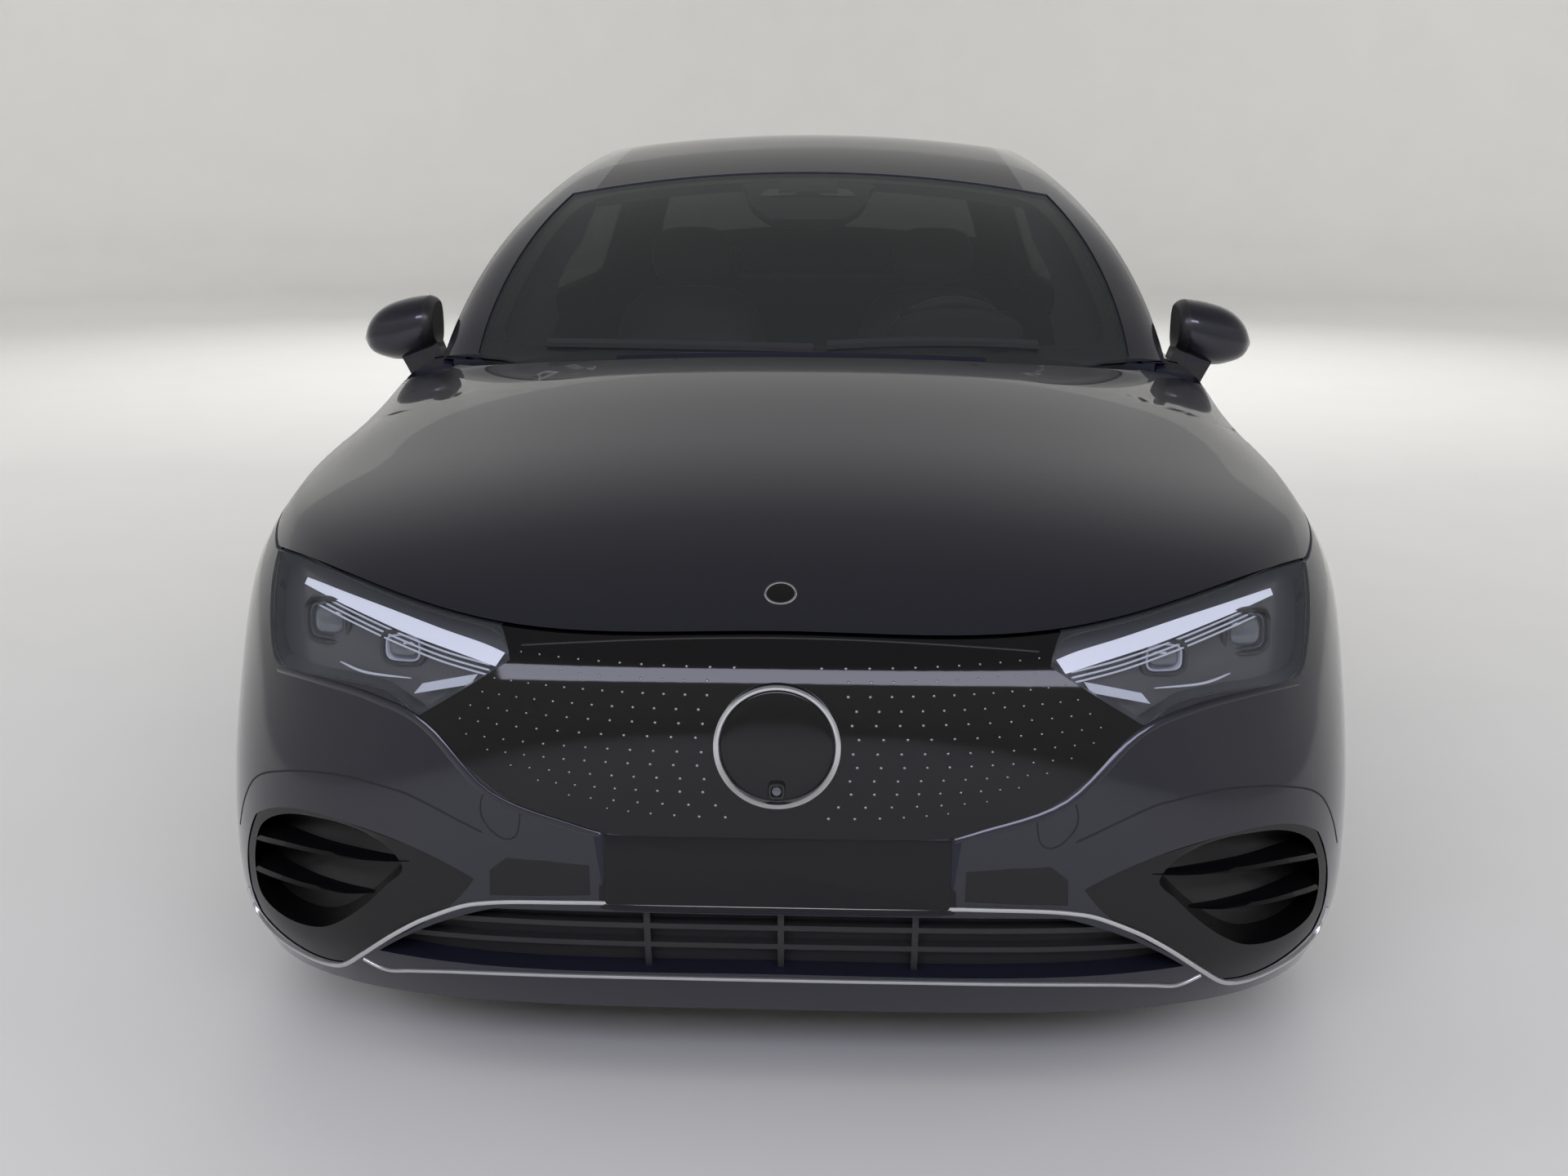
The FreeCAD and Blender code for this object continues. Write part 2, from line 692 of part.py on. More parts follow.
door_low_x = 0.3 * WIDTH
door_high_x = 0.6 * WIDTH
front_door_prism = side_prism(front_door_runs(), door_low_x, door_high_x, DOOR_SLANT)
rear_door_prism = side_prism(rear_door_runs(), door_low_x, door_high_x, DOOR_SLANT)
cabin_wall = block(0, size("door_inner_half"), 0.2 * LENGTH, 0.8 * LENGTH, 0, 0.652 * HEIGHT)
front_door_hole = side_prism(
    grown_runs(front_door_runs(), GAP, LENGTH, HEIGHT), door_low_x, door_high_x, DOOR_SLANT).cut(cabin_wall)
rear_door_hole = side_prism(
    grown_runs(rear_door_runs(), GAP, LENGTH, HEIGHT), door_low_x, door_high_x, DOOR_SLANT).cut(cabin_wall)
front_window_prism = side_prism(FRONT_WINDOW_SHARES, door_low_x, door_high_x, DOOR_SLANT)
rear_window_prism = side_prism(REAR_WINDOW_SHARES, door_low_x, door_high_x, DOOR_SLANT)

# Hollows of the body

CABIN_FRONT = 0.290 * LENGTH
CABIN_NARROW = 0.7197 * LENGTH
CABIN_BACK = 0.7966 * LENGTH
FLOOR_Z = size("floor_height")
DOOR_IN = size("door_inner_half")
WELL_TOP = AXLE_Z + size("arch_diameter") / 2 + size("pillar_wall") / 2
SEAT_FLOOR_Z = 0.318 * HEIGHT
BELT_Z = 0.652 * HEIGHT

cabin_space = block(-DOOR_IN, DOOR_IN, CABIN_FRONT, CABIN_NARROW, FLOOR_Z, BELT_Z)
cabin_space = cabin_space.fuse(block(
    -size("boot_inner_half"), size("boot_inner_half"), CABIN_NARROW, CABIN_BACK, SEAT_FLOOR_Z, BELT_Z))
cabin_space = cabin_space.fuse(block(-DOOR_IN, DOOR_IN, CABIN_NARROW, CABIN_BACK, WELL_TOP, BELT_Z))
upper_limit = block(-WIDTH, WIDTH, 0.262 * LENGTH, 0.869 * LENGTH, 0.668 * HEIGHT, 2 * HEIGHT)
upper_limit = upper_limit.fuse(block(-WIDTH, WIDTH, CABIN_FRONT, CABIN_BACK, 0.63 * HEIGHT, 0.68 * HEIGHT))
cabin_upper = cabin_inside.common(upper_limit)
cabin_space = cabin_space.fuse(cabin_upper)

BAY_FRONT = 0.0940 * LENGTH
BAY_WALL = 0.1100 * LENGTH
BAY_BACK = 0.2350 * LENGTH
BAY_HALF = size("well_inner_half") - 0.008 * WIDTH
COVER_LOW = 0.4300 * HEIGHT
bay_space = block(-BAY_HALF, BAY_HALF, BAY_WALL, BAY_BACK, 0.285 * HEIGHT, HEIGHT)
bay_space = bay_space.fuse(block(-BAY_HALF, BAY_HALF, BAY_FRONT, BAY_BACK, COVER_LOW, HEIGHT))
bay_space = bay_space.fuse(block(
    -DOOR_IN, DOOR_IN, BAY_FRONT + 0.012 * LENGTH, BAY_BACK - 0.008 * LENGTH, WELL_TOP, HEIGHT))

BOOT_FRONT = 0.8088 * LENGTH
BOOT_BACK = 0.9580 * LENGTH
SHELF_Z = 0.6600 * HEIGHT
LID_FRONT = 0.8860 * LENGTH
boot_half = size("boot_inner_half")
boot_space = block(-boot_half, boot_half, BOOT_FRONT, BOOT_BACK, size("boot_floor_height"), SHELF_Z)
boot_space = boot_space.fuse(block(-boot_half, boot_half, LID_FRONT, BOOT_BACK, SHELF_Z - GAP, HEIGHT))
lid_room = lower_body(size("bonnet_wall") + GAP)
boot_space = boot_space.fuse(
    block(-boot_half, boot_half, LID_FRONT, LENGTH, 0.5700 * HEIGHT, HEIGHT).common(lid_room))

DRIVE_TOP = 0.3450 * HEIGHT
tunnel_half = size("rear_well_inner_half") - 0.02 * WIDTH
drive_space = block(-tunnel_half, tunnel_half, 0.7240 * LENGTH, 0.8800 * LENGTH, 0, DRIVE_TOP)
front_tunnel = block(-BAY_HALF, BAY_HALF, BAY_WALL, 0.2560 * LENGTH, 0, 0.270 * HEIGHT)
arm_slots = []
for low, axle, inner, top in ((BAY_HALF - GAP, FRONT_AXLE, size("well_inner_half"), 0.160 * HEIGHT),
                              (tunnel_half - GAP, REAR_AXLE, size("rear_well_inner_half"), DRIVE_TOP)):
    slot = block(low, inner + GAP, axle - 0.045 * LENGTH, axle + 0.045 * LENGTH, 0, top)
    arm_slots += [slot, mirrored(slot)]
battery_front = 0.2800 * LENGTH
battery_half = size("battery_width") / 2
battery_top = size("battery_bottom") + size("battery_height")
battery_space = block(
    -battery_half - GAP, battery_half + GAP, battery_front - GAP, battery_front + size("battery_length") + GAP,
    0, battery_top + SEAT)

# Zones of the bumpers seen from the side

FRONT_BUMPER_SHARES = [
    (-0.02, 0.05), (0.0960, 0.05), (0.0960, 0.2360), (0.1010, 0.3440), (0.0880, 0.4300), (0.0790, 0.5250),
    (0.0790, 0.5600), (-0.02, 0.5600),
]
REAR_BUMPER_SHARES = [
    (0.8810, 0.05), (1.03, 0.05), (1.03, 0.5670), (0.9200, 0.5670), (0.8930, 0.4640), (0.8760, 0.3580),
    (0.8810, 0.2360),
]
front_zone = side_prism(closed_runs(FRONT_BUMPER_SHARES), -WIDTH, WIDTH)
rear_zone = side_prism(closed_runs(REAR_BUMPER_SHARES), -WIDTH, WIDTH)
front_zone_small = side_prism(
    grown_runs(closed_runs(FRONT_BUMPER_SHARES), -SEAT, LENGTH, HEIGHT), -WIDTH, WIDTH)
rear_zone_small = side_prism(
    grown_runs(closed_runs(REAR_BUMPER_SHARES), -SEAT, LENGTH, HEIGHT), -WIDTH, WIDTH)

# Screens and roof panel, seen from above

SCREEN_SHARES = [
    [(0.0, 0.2555), (0.42, 0.2610), (0.70, 0.2740), (0.765, 0.2830)],
    [(0.765, 0.2830), (0.760, 0.3300), (0.722, 0.3850), (0.665, 0.4400)],
    [(0.665, 0.4400), (0.35, 0.4440), (0.0, 0.4450)],
]
BACKLIGHT_SHARES = [
    [(0.0, 0.7420), (0.35, 0.7410), (0.555, 0.7380)],
    [(0.555, 0.7380), (0.600, 0.7900), (0.655, 0.8350), (0.690, 0.8660)],
    [(0.690, 0.8660), (0.35, 0.8720), (0.0, 0.8730)],
]
ROOF_PANEL_SHARES = [
    [(0.0, 0.4458), (0.35, 0.4450), (0.600, 0.4420)],
    [(0.600, 0.4420), (0.570, 0.5600), (0.560, 0.6500), (0.540, 0.7280)],
    [(0.540, 0.7280), (0.35, 0.7310), (0.0, 0.7320)],
]


def joined_halves(runs):
    """A whole outline from the runs of its left half, which start and end in the car's middle."""
    first = both_sides(runs[0])
    last = runs[2] + [(-u, v) for u, v in reversed(runs[2][:-1])]
    return [first, runs[1], last, [(-u, v) for u, v in reversed(runs[1])]]


def glass_panel(prism, step, wall):
    """A curved pane of one thickness, set a step below the outer form."""
    return greenhouse(step).cut(greenhouse(step + wall)).common(prism)


screen_prism_small = plan_prism(
    grown_runs(joined_halves(SCREEN_SHARES), -SEAT, HALF_WIDTH, LENGTH), 0.6 * HEIGHT, 2 * HEIGHT)
backlight_prism_small = plan_prism(
    grown_runs(joined_halves(BACKLIGHT_SHARES), -SEAT, HALF_WIDTH, LENGTH), 0.6 * HEIGHT, 2 * HEIGHT)
roof_panel_prism_small = plan_prism(
    grown_runs(joined_halves(ROOF_PANEL_SHARES), -SEAT, HALF_WIDTH, LENGTH), 0.6 * HEIGHT, 2 * HEIGHT)



def glass_bed(runs, depth):
    """Room for a pane in the body: its seat, and the opening inside its flange."""
    seat_room = plan_prism(runs, 0.6 * HEIGHT, 2 * HEIGHT).cut(greenhouse(depth + SEAT))
    opening = plan_prism(
        grown_runs(runs, -size("glass_flange"), HALF_WIDTH, LENGTH), 0.675 * HEIGHT, 2 * HEIGHT)
    return [seat_room, opening]


glass_back = size("glass_inset") + size("glass_thickness")
glass_beds = glass_bed(joined_halves(SCREEN_SHARES), glass_back)
glass_beds += glass_bed(joined_halves(BACKLIGHT_SHARES), glass_back)
glass_beds += glass_bed(joined_halves(ROOF_PANEL_SHARES), size("panel_wall"))

# Doors: skin and inner frame in one thickness, with a slanted front face that clears the pillar behind the skin

CABIN_SIDE_CUT = cabin_space.fuse([
    block(-DOOR_IN, DOOR_IN, 0.26 * LENGTH, 0.80 * LENGTH, 0.15 * HEIGHT, BELT_Z),
    block(-0.40 * WIDTH, 0.40 * WIDTH, 0.26 * LENGTH, 0.305 * LENGTH, BELT_Z, 0.668 * HEIGHT)])
# how far the bonnet's rear corners dip into the wings when it opens
DIP_FROM = 0.70 * HALF_WIDTH
DIP_TO = 0.92 * HALF_WIDTH
DIP_BACK = 0.2860 * LENGTH
DIP_LOW = 0.5880 * HEIGHT
PILLAR_FRONT = 0.4822 * LENGTH
PILLAR_BACK = 0.5004 * LENGTH
PILLAR_SKIN = size("bonnet_wall")
pillar_zone = block(0.7 * HALF_WIDTH, WIDTH, PILLAR_FRONT, PILLAR_BACK, 0.15 * HEIGHT, 0.64 * HEIGHT)
pillar_zone_wide = block(
    0.7 * HALF_WIDTH, WIDTH, PILLAR_FRONT - 3 * GAP, PILLAR_BACK + GAP, 0.14 * HEIGHT, 0.645 * HEIGHT)
pillar_form = lower_body(PILLAR_SKIN).fuse(greenhouse(PILLAR_SKIN))
pillar_form_wide = lower_body(PILLAR_SKIN - GAP).fuse(greenhouse(PILLAR_SKIN - GAP))
centre_pillar = pillar_form.common(pillar_zone).cut(cabin_space)
pillar_room = pillar_form_wide.common(pillar_zone_wide)

FRONT_DOOR_EDGE = 0.2699 * LENGTH
REAR_DOOR_EDGE = 0.4978 * LENGTH
HINGE_X = HALF_WIDTH - size("door_hinge_inboard")
HINGE_LEVELS = (0.27 * HEIGHT, 0.45 * HEIGHT)
PIN_R = size("hinge_pin_diameter") / 2
ARM = size("hinge_arm_width")
ARM_TALL = size("hinge_arm_height")


# places of the doors' front edges at the height shares
FRONT_EDGE_SHARES = [(0.0, 0.2699), (0.6159, 0.2699), (0.6457, 0.2891), (0.7033, 0.3316)]
REAR_EDGE_SHARES = [(0.0, 0.4978), (0.5629, 0.4978), (0.6556, 0.5026)]
# a door's front face leans back by as much as it goes inwards beside the hinges, and by less above them
FACE_ZONES = (((0.190, 0.250, 0.320, 0.400, 0.460, 0.510, 0.560), 1.0), ((0.560, 0.580, 0.616, 0.646, 0.652), 0.3))


def edge_at(edge_shares, share):
    """Place of a door's front edge behind the nose, at a share of the height."""
    for (low, first), (high, last) in zip(edge_shares, edge_shares[1:]):
        if share <= high:
            break
    return LENGTH * (first + (last - first) * (share - low) / (high - low))


def front_face_cuts(edge_shares):
    """What lies ahead of a door's front face, which starts a hem inside the skin at each height below the belt."""
    hem = size("door_hem")
    depth = 0.5 * HALF_WIDTH
    cuts = []
    for shares, lean in FACE_ZONES:
        outlines = []
        for share in shares:
            edge = edge_at(edge_shares, share)
            skin = flank_half(edge, share * HEIGHT)
            start = edge - DOOR_SLANT * (HALF_WIDTH - skin + hem)
            level = share * HEIGHT
            corners = [
                at_point(skin - hem / 2, start - lean * hem / 2, level),
                at_point(skin - depth, start + lean * (depth - hem), level),
                at_point(skin - depth, start - depth, level),
                at_point(skin - hem / 2, start - depth, level),
            ]
            outlines.append(Part.makePolygon(corners + corners[:1]))
        cuts.append(Part.makeLoft(outlines, True, True))
    return cuts


def hinge_arm(edge, level):
    """Bent arm from the pin's eye inwards round the pillar's edge to the door's slanted face."""
    pin_s = edge - size("door_hinge_ahead")
    inward = size("door_hinge_inboard") + size("hinge_pin_diameter")
    step = size("door_hinge_ahead") / 2
    reach = pin_s + size("door_hinge_ahead") + size("door_hinge_inboard") + inward
    half = ARM / 2
    points = [
        at_point(HINGE_X + half, pin_s, level),
        at_point(HINGE_X - half, pin_s - half, level),
        at_point(HINGE_X - inward - half, pin_s + step - half, level),
        at_point(HINGE_X - inward - half, reach, level),
        at_point(HINGE_X - inward + half, reach, level),
        at_point(HINGE_X - inward + half, pin_s + step + half, level),
        at_point(HINGE_X + half, pin_s + half, level),
    ]
    arm = Part.Face(Part.makePolygon(points + points[:1])).extrude(Vector(0, 0, ARM_TALL))
    eye = Part.makeCylinder(PIN_R + half, ARM_TALL, at_point(HINGE_X, pin_s, level))
    bore = Part.makeCylinder(PIN_R + size("hinge_clearance"), ARM_TALL, at_point(HINGE_X, pin_s, level))
    return arm.fuse(eye).cut(bore)


def hinge_pocket(edge, level):
    """Room for one hinge arm as it swings."""
    pin_s = edge - size("door_hinge_ahead")
    inward = size("door_hinge_inboard") + 2 * size("hinge_pin_diameter") + ARM / 2
    outward = PIN_R + ARM / 2 + 2 * GAP
    return block(HINGE_X - inward, HINGE_X + outward, pin_s - outward, edge + 4 * GAP, level - GAP,
                 level + ARM_TALL + GAP)


def hinge_pin(edge, level):
    pin_s = edge - size("door_hinge_ahead")
    return Part.makeCylinder(PIN_R, ARM_TALL + 4 * GAP, at_point(HINGE_X, pin_s, level - 2 * GAP))


def door_blank(prism):
    solid = outer.common(prism).cut(CABIN_SIDE_CUT)
    return solid.cut(pillar_room)


def door(prism, window, edge, edge_shares):
    solid = door_blank(prism).cut([window] + front_face_cuts(edge_shares))
    for level in HINGE_LEVELS:
        solid = solid.fuse(hinge_arm(edge, level))
    return solid


# room at the front door's top corner for the bonnet's rear corner as it dips, and beside the bulkhead
dip_room = block(0.60 * HALF_WIDTH, DIP_TO + GAP, 0.25 * LENGTH, DIP_BACK + GAP, DIP_LOW - GAP, HEIGHT)
bulkhead_room = block(0, DOOR_IN + GAP, 0.26 * LENGTH, CABIN_FRONT + GAP, 0.5 * HEIGHT, BELT_Z)
front_door_left = door(front_door_prism, front_window_prism, FRONT_DOOR_EDGE, FRONT_EDGE_SHARES)
rear_arm_rooms = [hinge_pocket(REAR_DOOR_EDGE, level) for level in HINGE_LEVELS]
front_door_left = front_door_left.cut([dip_room, bulkhead_room, bonnet_zone_wide] + rear_arm_rooms)
front_door_left = largest_solid(front_door_left)
rear_door_left = door(rear_door_prism, rear_window_prism, REAR_DOOR_EDGE, REAR_EDGE_SHARES)
rear_door_left = largest_solid(rear_door_left.cut(rear_well))


def door_glass(runs):
    pane = greenhouse(size("glass_inset")).cut(greenhouse(size("glass_inset") + size("glass_thickness")))
    return pane.common(side_prism(grown_runs(runs, -SEAT, LENGTH, HEIGHT), door_low_x, door_high_x, DOOR_SLANT))


front_glass_left = door_glass(FRONT_WINDOW_SHARES)
rear_glass_left = door_glass(REAR_WINDOW_SHARES)

for side_name, turn in (("left", keep_solids), ("right", mirrored)):
    add_node("front_door_" + side_name, turn(front_door_left))
    add_node("rear_door_" + side_name, turn(rear_door_left))
    add_node("front_door_glass_" + side_name, turn(front_glass_left))
    add_node("rear_door_glass_" + side_name, turn(rear_glass_left))

# Boot lid and the lamp band that crosses it, hinged behind the rear window

LID_HALF_SHARE = 0.66
LID_LOW = 0.5750 * HEIGHT
LID_FRONT_SHARES = [(0.0, 0.8850), (0.35, 0.8842), (LID_HALF_SHARE, 0.8800)]
LAMP_BAND_SHARES = [(0.0, 0.6180), (0.40, 0.6170), (1.2, 0.6050)]
LAMP_BAND_HEIGHT_SHARE = 0.058


def lid_region(change):
    """The boot lid's column seen from above, from the base of the rear window to past the tail."""
    half = LID_HALF_SHARE + change / HALF_WIDTH
    front = both_sides([(u * half / LID_HALF_SHARE, v - change / LENGTH) for u, v in LID_FRONT_SHARES])
    runs = [front] + open_runs([front[-1], (half, 1.1), (-half, 1.1), front[0]])
    return plan_prism(runs, LID_LOW - change, 2 * HEIGHT)


def lamp_band(change):
    """The strip across the tail that the rear lamps fill, grown by a few tenths for its seat."""
    low = both_sides(offset_curve(LAMP_BAND_SHARES, 0, -change / HEIGHT))
    high = [(u, v + LAMP_BAND_HEIGHT_SHARE + 2 * change / HEIGHT) for u, v in reversed(low)]
    runs = [low, [low[-1], high[0]], high, [high[-1], low[0]]]
    return front_prism(runs, 0.925 * LENGTH - change, 1.1 * LENGTH)


lid_core = lower_body(size("bonnet_wall"))
band_slab = outer.cut(lower_body(size("panel_wall") - SEAT)).common(lamp_band(0))
band_room = outer.cut(panel_core).common(lamp_band(SEAT))
lid_shape = outer.cut(lid_core).common(lid_region(0))
LID_HINGE_S = 0.8790 * LENGTH
LID_HINGE_DROP = 0.0080 * HEIGHT
LID_HINGE_Z = deck_z(0.26 * HALF_WIDTH, LID_HINGE_S) - LID_HINGE_DROP
LID_EYE_R = 0.0052 * HEIGHT
LID_PIN_R = LID_EYE_R / 2
LID_EYE_FROM = 0.235 * HALF_WIDTH
LID_EYE_TO = 0.295 * HALF_WIDTH


def lid_eye():
    arm = block(LID_EYE_FROM, LID_EYE_TO, LID_HINGE_S, 0.8880 * LENGTH, LID_HINGE_Z - LID_EYE_R,
                LID_HINGE_Z + LID_EYE_R / 2)
    eye = cylinder_x(LID_EYE_R, LID_EYE_FROM, LID_EYE_TO, LID_HINGE_S, LID_HINGE_Z)
    bore = cylinder_x(LID_PIN_R + size("hinge_clearance"), LID_EYE_FROM, LID_EYE_TO, LID_HINGE_S, LID_HINGE_Z)
    return arm.fuse(eye).cut(bore)


def lid_pin():
    """Pin between two lugs on the body."""
    pin = cylinder_x(LID_PIN_R, LID_EYE_FROM - 2 * LID_EYE_R, LID_EYE_TO + 2 * LID_EYE_R, LID_HINGE_S, LID_HINGE_Z)
    drop = 0.03 * HEIGHT
    for x0 in (LID_EYE_FROM - 2 * LID_EYE_R, LID_EYE_TO + LID_EYE_R / 2):
        lug = block(x0, x0 + 1.5 * LID_EYE_R, LID_HINGE_S - LID_EYE_R, LID_HINGE_S + LID_EYE_R,
                    LID_HINGE_Z - drop, LID_HINGE_Z + LID_EYE_R / 2)
        pin = pin.fuse(lug)
    return pin


lid_shape = lid_shape.cut(band_room)
lid_shape = lid_shape.fuse([lid_eye(), mirrored(lid_eye())])
add_node("boot_lid", largest_solid(lid_shape))
lid_lamp = band_slab.common(lid_region(0))
add_node("lid_lamp_band", lid_lamp)
tail_lamps = band_slab.cut(lid_region(GAP))
add_node("tail_lamps", tail_lamps)

# Bonnet, on two short pins that stand out of the wings into its edge, near its rear corners

BONNET_HINGE_S = 0.2730 * LENGTH
BONNET_HINGE_Z = 0.6258 * HEIGHT
BONNET_PIN_FROM = 0.856 * HALF_WIDTH
BONNET_PIN_TO = 0.918 * HALF_WIDTH
bonnet_shape = outer_lower.cut(bonnet_core).common(bonnet_region(0))


def bonnet_pin(radius):
    return cylinder_x(radius, BONNET_PIN_FROM, BONNET_PIN_TO, BONNET_HINGE_S, BONNET_HINGE_Z)


def bonnet_room():
    """Room for the bonnet's thickness, and for its rear corners as they dip when it opens."""
    room = bonnet_zone_wide.cut(lid_room)
    left_dip = block(DIP_FROM, DIP_TO, 0.2700 * LENGTH, DIP_BACK, DIP_LOW, HEIGHT)
    for dip in (left_dip, mirrored(left_dip)):
        room = room.fuse(dip.common(bonnet_zone_wide))
    return room


pin_bore = bonnet_pin(size("bonnet_pin_diameter") / 2 + size("hinge_clearance"))
bonnet_shape = bonnet_shape.cut([pin_bore, mirrored(pin_bore)])
add_node("bonnet", largest_solid(bonnet_shape))

# Body shell: floor, sills, pillars, rails, bulkheads, tub of the boot

shell = outer.cut([cabin_space, bay_space, boot_space, drive_space, front_tunnel, battery_space] + wells)
shell = shell.cut([front_zone, rear_zone] + arm_slots)
shell = shell.cut(bonnet_room())
shell = shell.cut([front_door_hole, rear_door_hole, mirrored(front_door_hole), mirrored(rear_door_hole)])
shell = shell.cut(lid_region(GAP).cut(lid_room))
hinge_strip = plan_prism(closed_runs([
    (-0.69, 0.8745), (0.69, 0.8745), (0.69, 0.8870), (-0.69, 0.8870)]), 0.72 * HEIGHT, HEIGHT)
skin_core = lower_body(size("bonnet_wall")).fuse(greenhouse(size("bonnet_wall")))
shell = shell.cut(hinge_strip.cut(skin_core))
COWL_DEPTH = 0.0120 * HEIGHT
cowl = plan_prism([both_sides(BONNET_BACK_SHARES[:3])] + [
    [(0.70, 0.2680), (0.70, 0.2740)],
    [(0.70, 0.2740), (0.42, 0.2610), (0.0, 0.2555), (-0.42, 0.2610), (-0.70, 0.2740)],
    [(-0.70, 0.2740), (-0.70, 0.2680)]], 0.60 * HEIGHT, HEIGHT)
shell = shell.cut(cowl.cut(lower_body(COWL_DEPTH)))
shell = shell.cut(glass_beds)
swing_room = plan_prism(closed_runs(SWING_SHARES), 0.6040 * HEIGHT, 0.70 * HEIGHT)
shell = shell.cut([swing_room, mirrored(swing_room)])
tub = block(-boot_half - size("pillar_wall"), boot_half + size("pillar_wall"), 0.86 * LENGTH,
            BOOT_BACK + 0.005 * LENGTH, size("boot_floor_height") - size("pillar_wall"), 0.569 * HEIGHT)
beam_core = lower_body(size("bumper_wall") + GAP)
shell = shell.fuse(tub.common(beam_core).cut([boot_space, drive_space]))
pillars = centre_pillar.fuse(mirrored(centre_pillar))
shell = shell.fuse(pillars)
pockets = []
pins = []
for edge in (FRONT_DOOR_EDGE, REAR_DOOR_EDGE):
    for level in HINGE_LEVELS:
        pockets.append(hinge_pocket(edge, level))
        pins.append(hinge_pin(edge, level))
pins.append(bonnet_pin(size("bonnet_pin_diameter") / 2))
pins.append(lid_pin())
shell = shell.cut(pockets + [mirrored(pocket) for pocket in pockets])
shell = shell.fuse(pins + [mirrored(pin) for pin in pins])
shell = shell.cut(band_room)
pad_r = size("jack_pad_diameter") / 2
pads = [Part.makeCylinder(pad_r, size("jack_pad_drop") + GAP, at_point(x * HALF_WIDTH, s * LENGTH,
                                                                       0.1060 * HEIGHT - size("jack_pad_drop")))
        for x in (-0.80, 0.80) for s in (0.295, 0.690)]
shell = shell.fuse(pads)
add_node("body_shell", largest_solid(shell))

# Glass of the root

windscreen = glass_panel(screen_prism_small, size("glass_inset"), size("glass_thickness"))
add_node("windscreen", largest_solid(windscreen.cut([swing_room, mirrored(swing_room)])))
add_node("rear_window", glass_panel(backlight_prism_small, size("glass_inset"), size("glass_thickness")))
add_node("roof_panel", glass_panel(roof_panel_prism_small, 0, size("panel_wall")))

# Blank number plates: the front one stands on the bumper's face, the rear one lies in a recess

PLATE_HEIGHT_SHARE = (0.268, 0.372)
PLATE_BACKS = (size("plate_thickness") + 4 * SEAT, LENGTH - 4 * size("plate_thickness"))


def plate_block(front):
    half = size("plate_width") / 2
    low = PLATE_HEIGHT_SHARE[0 if front else 1] * HEIGHT - size("plate_height") / 2
    thickness = size("plate_thickness")
    start = PLATE_BACKS[0] - thickness if front else PLATE_BACKS[1]
    return block(-half, half, start, start + thickness, low, low + size("plate_height"))


def plate_room(front):
    """Flat seat for a plate, cut into a bumper's skin, with a margin all round."""
    margin = (1 if front else 2) * size("plate_thickness")
    half = size("plate_width") / 2 + margin
    low = PLATE_HEIGHT_SHARE[0 if front else 1] * HEIGHT - size("plate_height") / 2 - margin
    ends = (-OVERRUN, PLATE_BACKS[0] + SEAT) if front else (PLATE_BACKS[1] - SEAT, LENGTH + OVERRUN)
    return block(-half, half, ends[0], ends[1], low, low + size("plate_height") + 2 * margin)


# Bumpers, front panel, lamps and grilles

front_skin = outer_lower.cut(bumper_core)
front_bumper = front_skin.common(front_zone_small).cut(bonnet_zone_wide)
front_bumper = front_bumper.cut(plate_room(True))
lamp_prisms = [lamp_prism, mirrored(lamp_prism)]
intake_prisms = [intake_prism, mirrored(intake_prism)]
front_bumper = front_bumper.cut(lamp_prisms + intake_prisms + [panel_prism, grille_prism] + wells)
add_node("front_bumper", front_bumper)
grille_panel = outer_lower.cut(panel_core).common(panel_prism_small).cut(lamp_prisms + [plate_room(True)])
add_node("grille_panel", grille_panel.cut(bonnet_zone_wide))
lamp_solid = outer_lower.cut(lamp_core).common(lamp_prism_small).common(front_zone_small)
lamp_solid = lamp_solid.cut(bonnet_zone_wide)
add_node("headlamps", Part.makeCompound([lamp_solid.Solids[0], mirrored(lamp_solid).Solids[0]]))
rear_bumper = outer_lower.cut(bumper_core).common(rear_zone_small).cut(wells + [plate_room(False)])
add_node("rear_bumper", rear_bumper)
plates = plate_block(True).fuse(plate_block(False))

# Lower grille: slats and ribs behind the mouth of the front bumper

GRILLE_DEPTH = 0.004 * LENGTH
SLAT_SHARES = (0.178, 0.200)
RIB_SHARES = (-0.21, 0.0, 0.21)
grille_core = lower_body(size("bumper_wall") * 0.7)
grille_skin = lower_body(size("panel_wall")).cut(grille_core).common(grille_prism_small)
mouth_back = lower_body(size("bumper_wall") * 0.7).cut(bumper_core).common(grille_prism_small)
slats = [block(-HALF_WIDTH, HALF_WIDTH, -OVERRUN, NOSE_REACH, z * HEIGHT, z * HEIGHT + 0.006 * HEIGHT)
         for z in SLAT_SHARES]
ribs = [block(x * HALF_WIDTH, x * HALF_WIDTH + 0.01 * HALF_WIDTH, -OVERRUN, NOSE_REACH, 0, HEIGHT)
        for x in RIB_SHARES]
bars = slats[0].fuse(slats[1:] + ribs)
lower_grille = mouth_back.fuse(grille_skin.common(bars))
add_node("lower_grille", largest_solid(lower_grille))

# Side intakes: a blade with two fins in front of a closed duct

FIN_SHARES = (0.205, 0.236)
duct_back = lower_body(size("bumper_wall") * 0.8).cut(bumper_core).common(intake_prism_small)
fins = [block(0.4 * HALF_WIDTH, WIDTH, -OVERRUN, NOSE_REACH, z * HEIGHT, z * HEIGHT + 0.011 * HEIGHT)
        for z in FIN_SHARES]
blade_runs = closed_runs([(0.46, 0.30), (0.72, 0.30), (0.66, 0.22), (0.72, 0.12), (0.46, 0.12)])
blade_zone = front_prism(blade_runs, -OVERRUN, NOSE_REACH)
duct_front = lower_body(size("bumper_wall") * 0.25).cut(lower_body(size("bumper_wall") * 0.8))
intake_left = duct_back.fuse(duct_front.common(intake_prism_small).common(blade_zone.fuse(fins)))
intake_solid = largest_solid(intake_left)
add_node("side_intakes", Part.makeCompound([intake_solid, mirrored(intake_solid)]))

